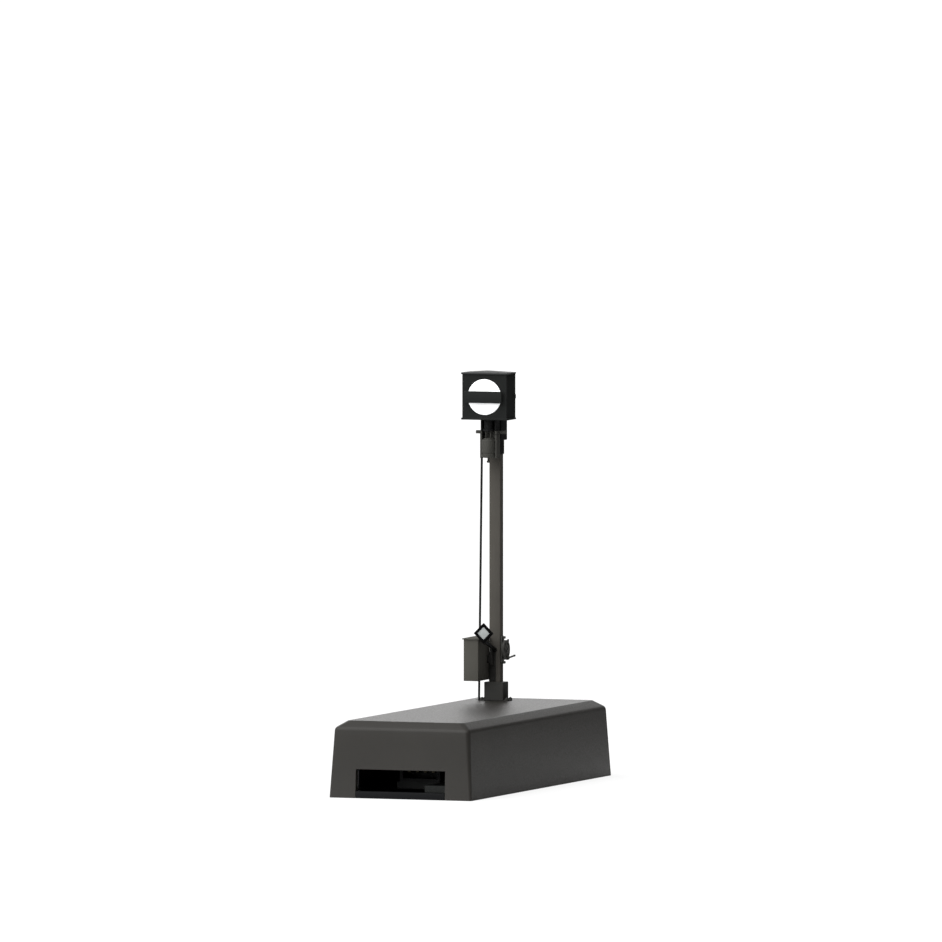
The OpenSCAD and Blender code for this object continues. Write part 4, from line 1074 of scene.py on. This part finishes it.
@dataclass
class Lantern:
    """The box lantern with its beads, hipped roof and white disc, and the black bar before it.

    Args:
        wall: sheet thickness.
        bead: diameter of the beads round the roof and the floor.
        stand_off: how far the beads stand out of the walls.
        disc_lip: how far the disc's flange reaches behind the wall.
        crank_reach: the slotted crank's reach at mid travel.
        crank_turn: the crank's slope at rest, in degrees.
    """

    wall: float = 0.35
    bead: float = 0.30
    stand_off: float = 0.17
    disc_lip: float = 0.25
    crank_reach: float = 2.2
    crank_turn: float = 22.5

    def shell(self, box: Box, disc: Box) -> Surface:
        """The housing as one hollow ring: window rim, face, walls, and back along the inside.

        Every ring has one point for each direction from the disc's middle, so the round window
        and the square walls join without a seam.
        """
        half_w = box.size[0] / 2 - self.stand_off
        front, back = box.low[1] + self.stand_off, box.high[1]
        z0, z1 = box.low[2], box.high[2]
        middle = (box.middle[0], (z0 + z1) / 2)
        half_h = (z1 - z0) / 2
        steps = 8
        outer = rounded_outline(half_w, half_h, 0.09, steps, middle)
        outer_in = rounded_outline(half_w - 0.04, half_h - 0.04, 0.07, steps, middle)
        inner = rounded_outline(half_w - self.wall, half_h - self.wall, 0.05, steps, middle)
        # Points along the straight walls keep the window's circle round
        outer, outer_in, inner = (self.subdivided(line, 10) for line in (outer, outer_in, inner))
        hub = np.array([disc.middle[0], disc.middle[2]])
        direction = unit_rows(outer - hub)
        radius = disc.size[0] / 2 - self.disc_lip + 0.02
        window, window_out = hub + direction * radius, hub + direction * (radius + 0.03)
        rings = [laid(window_out, front, Facing.Y), laid(outer_in, front, Facing.Y),
                 laid(outer, front + 0.04, Facing.Y),
                 laid(outer, back, Facing.Y), laid(inner, back, Facing.Y),
                 laid(inner, front + self.wall, Facing.Y),
                 laid(window, front + self.wall, Facing.Y), laid(window, front + 0.03, Facing.Y)]
        return loft(rings, closed=True)

    @staticmethod
    def subdivided(line: Array, parts: int) -> Array:
        """The closed outline with each of its four straight sides cut into equal parts."""
        per_side = len(line) // 4
        pieces = []
        for side in range(4):
            corner = line[side * per_side:(side + 1) * per_side]
            after = line[((side + 1) * per_side) % len(line)]
            t = np.linspace(0.0, 1.0, parts + 1)[1:-1, None]
            pieces += [corner, corner[-1] + (after - corner[-1]) * t]
        return np.concatenate(pieces)

    def bead_surface(self, box: Box, z: float) -> Surface:
        """A round bead along the front and both sides, with a ball at each end."""
        r = self.bead / 2
        x0, x1 = box.low[0] + r, box.high[0] - r
        y0, y1 = box.low[1] + r, box.high[1] - r
        corner = 0.12
        t = np.linspace(0.0, 1.0, 5)[:, None]
        left, right = np.array([x0, y0]), np.array([x1, y0])

        def bend(a: Array, b: Array, c: Array) -> Array:
            """A quadratic arc from a to c that leans on b."""
            return (1 - t) ** 2 * a + 2 * t * (1 - t) * b + t ** 2 * c

        plan = np.concatenate([
            np.array([[x0, y1]]), np.array([[x0, y] for y in np.linspace(y1 - 0.3, y0 + corner * 2, 5)]),
            bend(left + [0, corner], left, left + [corner, 0]),
            bend(right - [corner, 0], right, right + [0, corner]),
            np.array([[x1, y] for y in np.linspace(y0 + corner * 2, y1 - 0.3, 5)]), np.array([[x1, y1]])])
        path = np.column_stack([plan, np.full(len(plan), z)])
        parts = [self.level_tube(path, r)]
        for x in (x0, x1):
            angle = np.linspace(-math.pi / 2 + 0.2, math.pi / 2 - 0.2, 9)
            ball = [(r * math.cos(a), r * math.sin(a)) for a in angle]
            parts.append(lathe(ball, (x, y1, z), Facing.Z, 20))
            parts.append(lathe([(c * 1.05, s * 1.05) for c, s in ball], (x, y0, z), Facing.Z, 20))
        return parts[0].joined(*parts[1:])

    @staticmethod
    def level_tube(path: Array, radius: float, count: int = 14) -> Surface:
        """A round section carried along a level path: each ring stands upright across the path."""
        ahead = np.gradient(path, axis=0)
        ahead /= np.linalg.norm(ahead, axis=1)[:, None]
        side = np.cross(ahead, [0.0, 0.0, 1.0])
        angle = np.arange(count) * 2 * math.pi / count
        rings = [p + radius * (np.cos(angle)[:, None] * s + np.sin(angle)[:,
                                                                          None] * np.array([0.0, 0.0, 1.0]))
                 for p, s in zip(path, side)]
        return loft(rings)

    def roof(self, box: Box) -> Surface:
        """The hipped roof: the eaves' outline drawn in to a short ridge."""
        half = box.size[:2] / 2
        middle = box.middle[:2]
        top = box.high[2]
        eave = box.low[2]
        rings = []
        for height, inset in ((eave, self.stand_off), (eave + self.bead * 0.85, self.stand_off - 0.02),
                              (eave + self.bead, self.stand_off + 0.06)):
            outline = rounded_outline(half[0] - inset, half[1] - inset, 0.08, 4, middle)
            rings.append(laid(outline, height, Facing.Z))
        ridge = rounded_outline(0.30, 0.10, 0.08, 4, middle)
        rings.append(laid(ridge, top, Facing.Z))
        return loft(rings)

    def disc(self, box: Box) -> Surface:
        """The white disc: a flat face with a soft rim and a flange behind the wall."""
        radius = box.size[0] / 2 - self.disc_lip
        depth = box.size[1]
        centre = (box.middle[0], box.low[1], box.middle[2])
        profile = [(0.46, depth), (0.46, 0.0), (radius - 0.12, 0.0), (radius - 0.05, 0.015), (radius, 0.06),
                   (radius, depth - 0.3), (radius + self.disc_lip, depth - 0.28),
                   (radius + self.disc_lip, depth)]
        return ring_lathe(profile, centre, Facing.Y, 128)

    def bar(self, box: Box) -> Surface:
        """The black bar with softly broken edges."""
        return slab(box.low, box.high, 0.05, 0.06, Facing.Y, 3)

    def crank(self, bar: Box, crank: Box) -> Surface:
        """The slotted crank: a tapered arm round its slot, and a boss on the shaft."""
        near, turn = self.crank_reach, self.crank_turn
        far = near / math.cos(math.radians(turn))
        x, z = bar.middle[0], bar.middle[2]
        y0, y1 = crank.low[1], crank.high[1]
        length = far + 0.45
        outer = rounded_outline(length / 2 + 0.30, 0.45, 0.44, 8, (-length / 2 + 0.30, 0.0))
        slot = rounded_outline((far - near) / 2 + 0.2, 0.2, 0.199, 8, (-(near + far) / 2, 0.0))
        shift = np.array([x, z])
        arm = window_wall(outer + shift, slot + shift, y0, y1, Facing.Y, 0.04)
        boss = lathe([(0.30, -0.05), (0.62, -0.05), (0.65, 0.0), (0.65, y1 - y0), (0.60, y1 - y0 + 0.04),
                      (0.30, y1 - y0 + 0.04)],
                     (x, y0, z), Facing.Y, 40)
        return arm.joined(boss).turned(1, turn, (x, y0, z))

    def build(self) -> None:
        """Makes the lantern, its disc and the moving bar with its shaft and crank."""
        housing, roof, disc = Box.of("lantern_housing"), Box.of("lantern_roof"), Box.of("white_disc")
        half_bead = self.bead / 2
        latch_at = [housing.high[0] - self.stand_off, housing.high[1] - 0.6, disc.middle[2] - 0.3]
        latch = slab(np.array(latch_at) - [0.02, 0.0, 0.0], np.array(latch_at) + [0.14, 0.5, 0.6], 0.04)
        shell = self.shell(housing, disc).joined(self.bead_surface(housing, housing.low[2] + half_bead),
                                                 latch)
        make_piece("lantern_shell", shell, Paint.LANTERN, ["lantern_housing"])
        cap = self.roof(roof).joined(self.bead_surface(roof, roof.low[2] + half_bead))
        make_piece("lantern_roof_cap", cap, Paint.ROOF, ["lantern_roof"])
        back = Box.of("lantern_back")
        make_piece("lantern_back_door", slab(back.low, back.high, 0.05, 0.08, Facing.Y), Paint.LANTERN,
                   ["lantern_back"])
        make_piece("white_disc_lens", self.disc(disc), Paint.DISC, ["white_disc"])
        bar, crank = Box.of("signal_bar"), Box.of("bar_crank")
        make_piece("signal_bar_blade", self.bar(bar), Paint.BAR, ["signal_bar"], "signal_bar")
        shaft = Box.of("bar_shaft")
        pin_surface = pin((shaft.middle[0], shaft.low[1], shaft.middle[2]), shaft.size[1], 0.25, Facing.Y,
                          0.05)
        collar = lathe([(0.25, 0.0), (0.43, 0.0), (0.45, 0.03), (0.45, 0.17), (0.40, 0.2), (0.25, 0.2)],
                       (shaft.middle[0], bar.high[1], shaft.middle[2]), Facing.Y)
        make_piece("bar_shaft_pin", pin_surface.joined(collar), Paint.BRIGHT, ["bar_shaft"], "signal_bar")
        make_piece("bar_crank_arm", self.crank(bar, crank), Paint.BLACK, ["bar_crank"], "signal_bar")


KEPT_NODES = {
    Paint.STEEL: ("cover_screws", "drive_screws", "axle_clip"),
    Paint.BOARD: ("control_board",),
    Paint.CHIP: ("control_chip", "cable_socket"),
    Paint.BRIGHT: ("smoothing_capacitor", "motor_can", "gear_axle", "motor_shaft", "rod_yoke"),
    Paint.CERAMIC: ("chip_parts",),
    Paint.PINS: ("socket_pins",),
    Paint.ZINC: ("gearbox",),
    Paint.PLATE: ("motor_clamp",),
    Paint.RED_WIRE: ("motor_leads",),
    Paint.BRASS: ("drive_bracket", "drive_pinion", "rod_bush", "shaft_bush"),
    Paint.ACETAL: ("drive_gear", "rod_guide"),
    Paint.WIRE: ("lantern_wires",),
    Paint.BOARD_WHITE: ("lamp_board",),
    Paint.LAMP: ("lamps",),
}


@dataclass
class Studio:
    """The pale floor, the soft light and the camera.

    Args:
        azimuth: the camera's bearing from the front, in degrees.
        elevation: its height above the horizon, in degrees.
        width: width of the view at the object, in metres.
        lens: focal length in millimetres, long so that the view is nearly parallel.
        aim_up: how far above the base the view is centred, in metres.
        ambient: strength of the dome where no lamp reaches.
        floor_reach: how far from the object the floor's light starts and stops fading, in metres.
        floor_tones: the floor's tone beside the object and far from it, where only light falls.
        floor_even: share of plain white in the floor that the camera sees, which leaves a faint shadow.
        lamps: each soft lamp's direction, the cosine where it begins, and its strength.
    """

    azimuth: float = 20.7
    elevation: float = 3.4
    width: float = 0.1406
    lens: float = 1200.0
    aim_up: float = 0.04706
    ambient: float = 0.16
    floor_reach: tuple[float, float] = (0.035, 0.16)
    floor_tones: tuple[float, float] = (0.78, 0.10)
    floor_even: float = 0.8
    lamps: tuple = (((-0.40, -0.62, 0.67), 0.45, 5.5), ((-0.55, 0.82, 0.15), 0.72, 2.6),
                    ((0.15, -0.10, 0.98), 0.60, 1.3))

    def floor(self) -> None:
        """A wide pale floor."""
        mesh = bpy.data.meshes.new("floor")
        side = np.array([[-1, -1], [1, -1], [1, 1], [-1, 1]], float) * 2.5
        points = np.column_stack([side, np.full(4, -0.00002)])
        mesh.from_pydata(points.tolist(), [], [(0, 1, 2, 3)])
        floor = bpy.data.objects.new("floor", mesh)
        bpy.context.scene.collection.objects.link(floor)
        material = bpy.data.materials.new("floor_paper")
        material.use_nodes = True
        nodes, links = material.node_tree.nodes, material.node_tree.links
        shader = nodes["Principled BSDF"]
        shader.inputs["Roughness"].default_value = 0.9
        shader.inputs["Specular IOR Level"].default_value = 0.0
        place = nodes.new("ShaderNodeTexCoord")
        reach = nodes.new("ShaderNodeVectorMath")
        reach.operation = "LENGTH"
        links.new(place.outputs["Object"], reach.inputs[0])
        fade = nodes.new("ShaderNodeMapRange")
        fade.interpolation_type = "SMOOTHSTEP"
        fade.inputs["From Min"].default_value, fade.inputs["From Max"].default_value = self.floor_reach
        fade.inputs["To Min"].default_value, fade.inputs["To Max"].default_value = self.floor_tones
        links.new(reach.outputs["Value"], fade.inputs["Value"])
        path = nodes.new("ShaderNodeLightPath")
        seen = nodes.new("ShaderNodeMix")
        links.new(path.outputs["Is Camera Ray"], seen.inputs["Factor"])
        links.new(fade.outputs["Result"], seen.inputs["A"])
        seen.inputs["B"].default_value = self.floor_tones[0]
        links.new(seen.outputs["Result"], shader.inputs["Base Color"])
        paper = nodes.new("ShaderNodeEmission")
        share = nodes.new("ShaderNodeMath")
        share.operation = "MULTIPLY"
        share.inputs[1].default_value = self.floor_even
        links.new(path.outputs["Is Camera Ray"], share.inputs[0])
        even = nodes.new("ShaderNodeMixShader")
        links.new(share.outputs["Value"], even.inputs["Fac"])
        links.new(shader.outputs["BSDF"], even.inputs[1])
        links.new(paper.outputs["Emission"], even.inputs[2])
        links.new(even.outputs["Shader"], nodes["Material Output"].inputs["Surface"])
        mesh.materials.append(material)

    def light(self) -> None:
        """A dim dome with a high soft key to the front left and a pale wall behind, white to the camera."""
        world = bpy.data.worlds.new("studio")
        bpy.context.scene.world = world
        world.use_nodes = True
        nodes, links = world.node_tree.nodes, world.node_tree.links
        nodes.clear()
        place = nodes.new("ShaderNodeTexCoord")
        total = None
        for toward, start, strength in self.lamps:
            along = nodes.new("ShaderNodeVectorMath")
            along.operation = "DOT_PRODUCT"
            along.inputs[1].default_value = toward
            links.new(place.outputs["Generated"], along.inputs[0])
            spread = nodes.new("ShaderNodeMapRange")
            spread.interpolation_type = "SMOOTHSTEP"
            spread.inputs["From Min"].default_value = start
            spread.inputs["From Max"].default_value = 1.0
            spread.inputs["To Max"].default_value = strength
            links.new(along.outputs["Value"], spread.inputs["Value"])
            added = nodes.new("ShaderNodeMath")
            links.new(spread.outputs["Result"], added.inputs[0])
            added.inputs[1].default_value = self.ambient
            if total is not None:
                links.new(total, added.inputs[1])
            total = added.outputs["Value"]
        dome = nodes.new("ShaderNodeBackground")
        links.new(total, dome.inputs["Strength"])
        plain = nodes.new("ShaderNodeBackground")
        path = nodes.new("ShaderNodeLightPath")
        pick = nodes.new("ShaderNodeMixShader")
        plain.inputs["Color"].default_value = (1.0, 1.0, 1.0, 1.0)
        plain.inputs["Strength"].default_value = 1.05
        links.new(path.outputs["Is Camera Ray"], pick.inputs["Fac"])
        links.new(dome.outputs["Background"], pick.inputs[1])
        links.new(plain.outputs["Background"], pick.inputs[2])
        out = nodes.new("ShaderNodeOutputWorld")
        links.new(pick.outputs["Shader"], out.inputs["Surface"])

    def camera(self) -> None:
        """The camera on its bearing, far enough back for its long lens to take in the width."""
        data = bpy.data.cameras.new("camera")
        data.lens = self.lens
        data.sensor_width = 36.0
        data.clip_end = 100.0
        distance = self.width / 2 / math.tan(math.atan(data.sensor_width / 2 / self.lens))
        bearing, lift = math.radians(self.azimuth), math.radians(self.elevation)
        out = np.array([math.sin(bearing) * math.cos(lift), -math.cos(bearing) * math.cos(lift),
                        math.sin(lift)])
        up = np.array([-math.sin(bearing) * math.sin(lift), math.cos(bearing) * math.sin(lift),
                       math.cos(lift)])
        camera = bpy.data.objects.new("camera", data)
        camera.location = (up * self.aim_up + out * distance).tolist()
        camera.rotation_euler = (math.pi / 2 - lift, 0.0, bearing)
        bpy.context.scene.collection.objects.link(camera)
        bpy.context.scene.camera = camera

    def build(self) -> None:
        """Makes the floor, the light and the camera, and shows colours as they are."""
        self.floor()
        self.light()
        self.camera()
        bpy.context.scene.view_settings.view_transform = "Standard"


def main() -> None:
    """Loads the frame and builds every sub-assembly in order."""
    logging.basicConfig(level=logging.INFO, format="%(name)s: %(message)s")
    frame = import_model()
    Studio().build()
    for paint, nodes in KEPT_NODES.items():
        for node in nodes:
            dress_node(frame, node, paint)
    for part in (MotorBase(), MastFoot(), TelephoneBox(), DiamondSign(), WireWheel(), SignalHead(),
                 Lantern()):
        LOG.info("building %s", type(part).__name__)
        part.build()


if __name__ == "__main__":
    main()
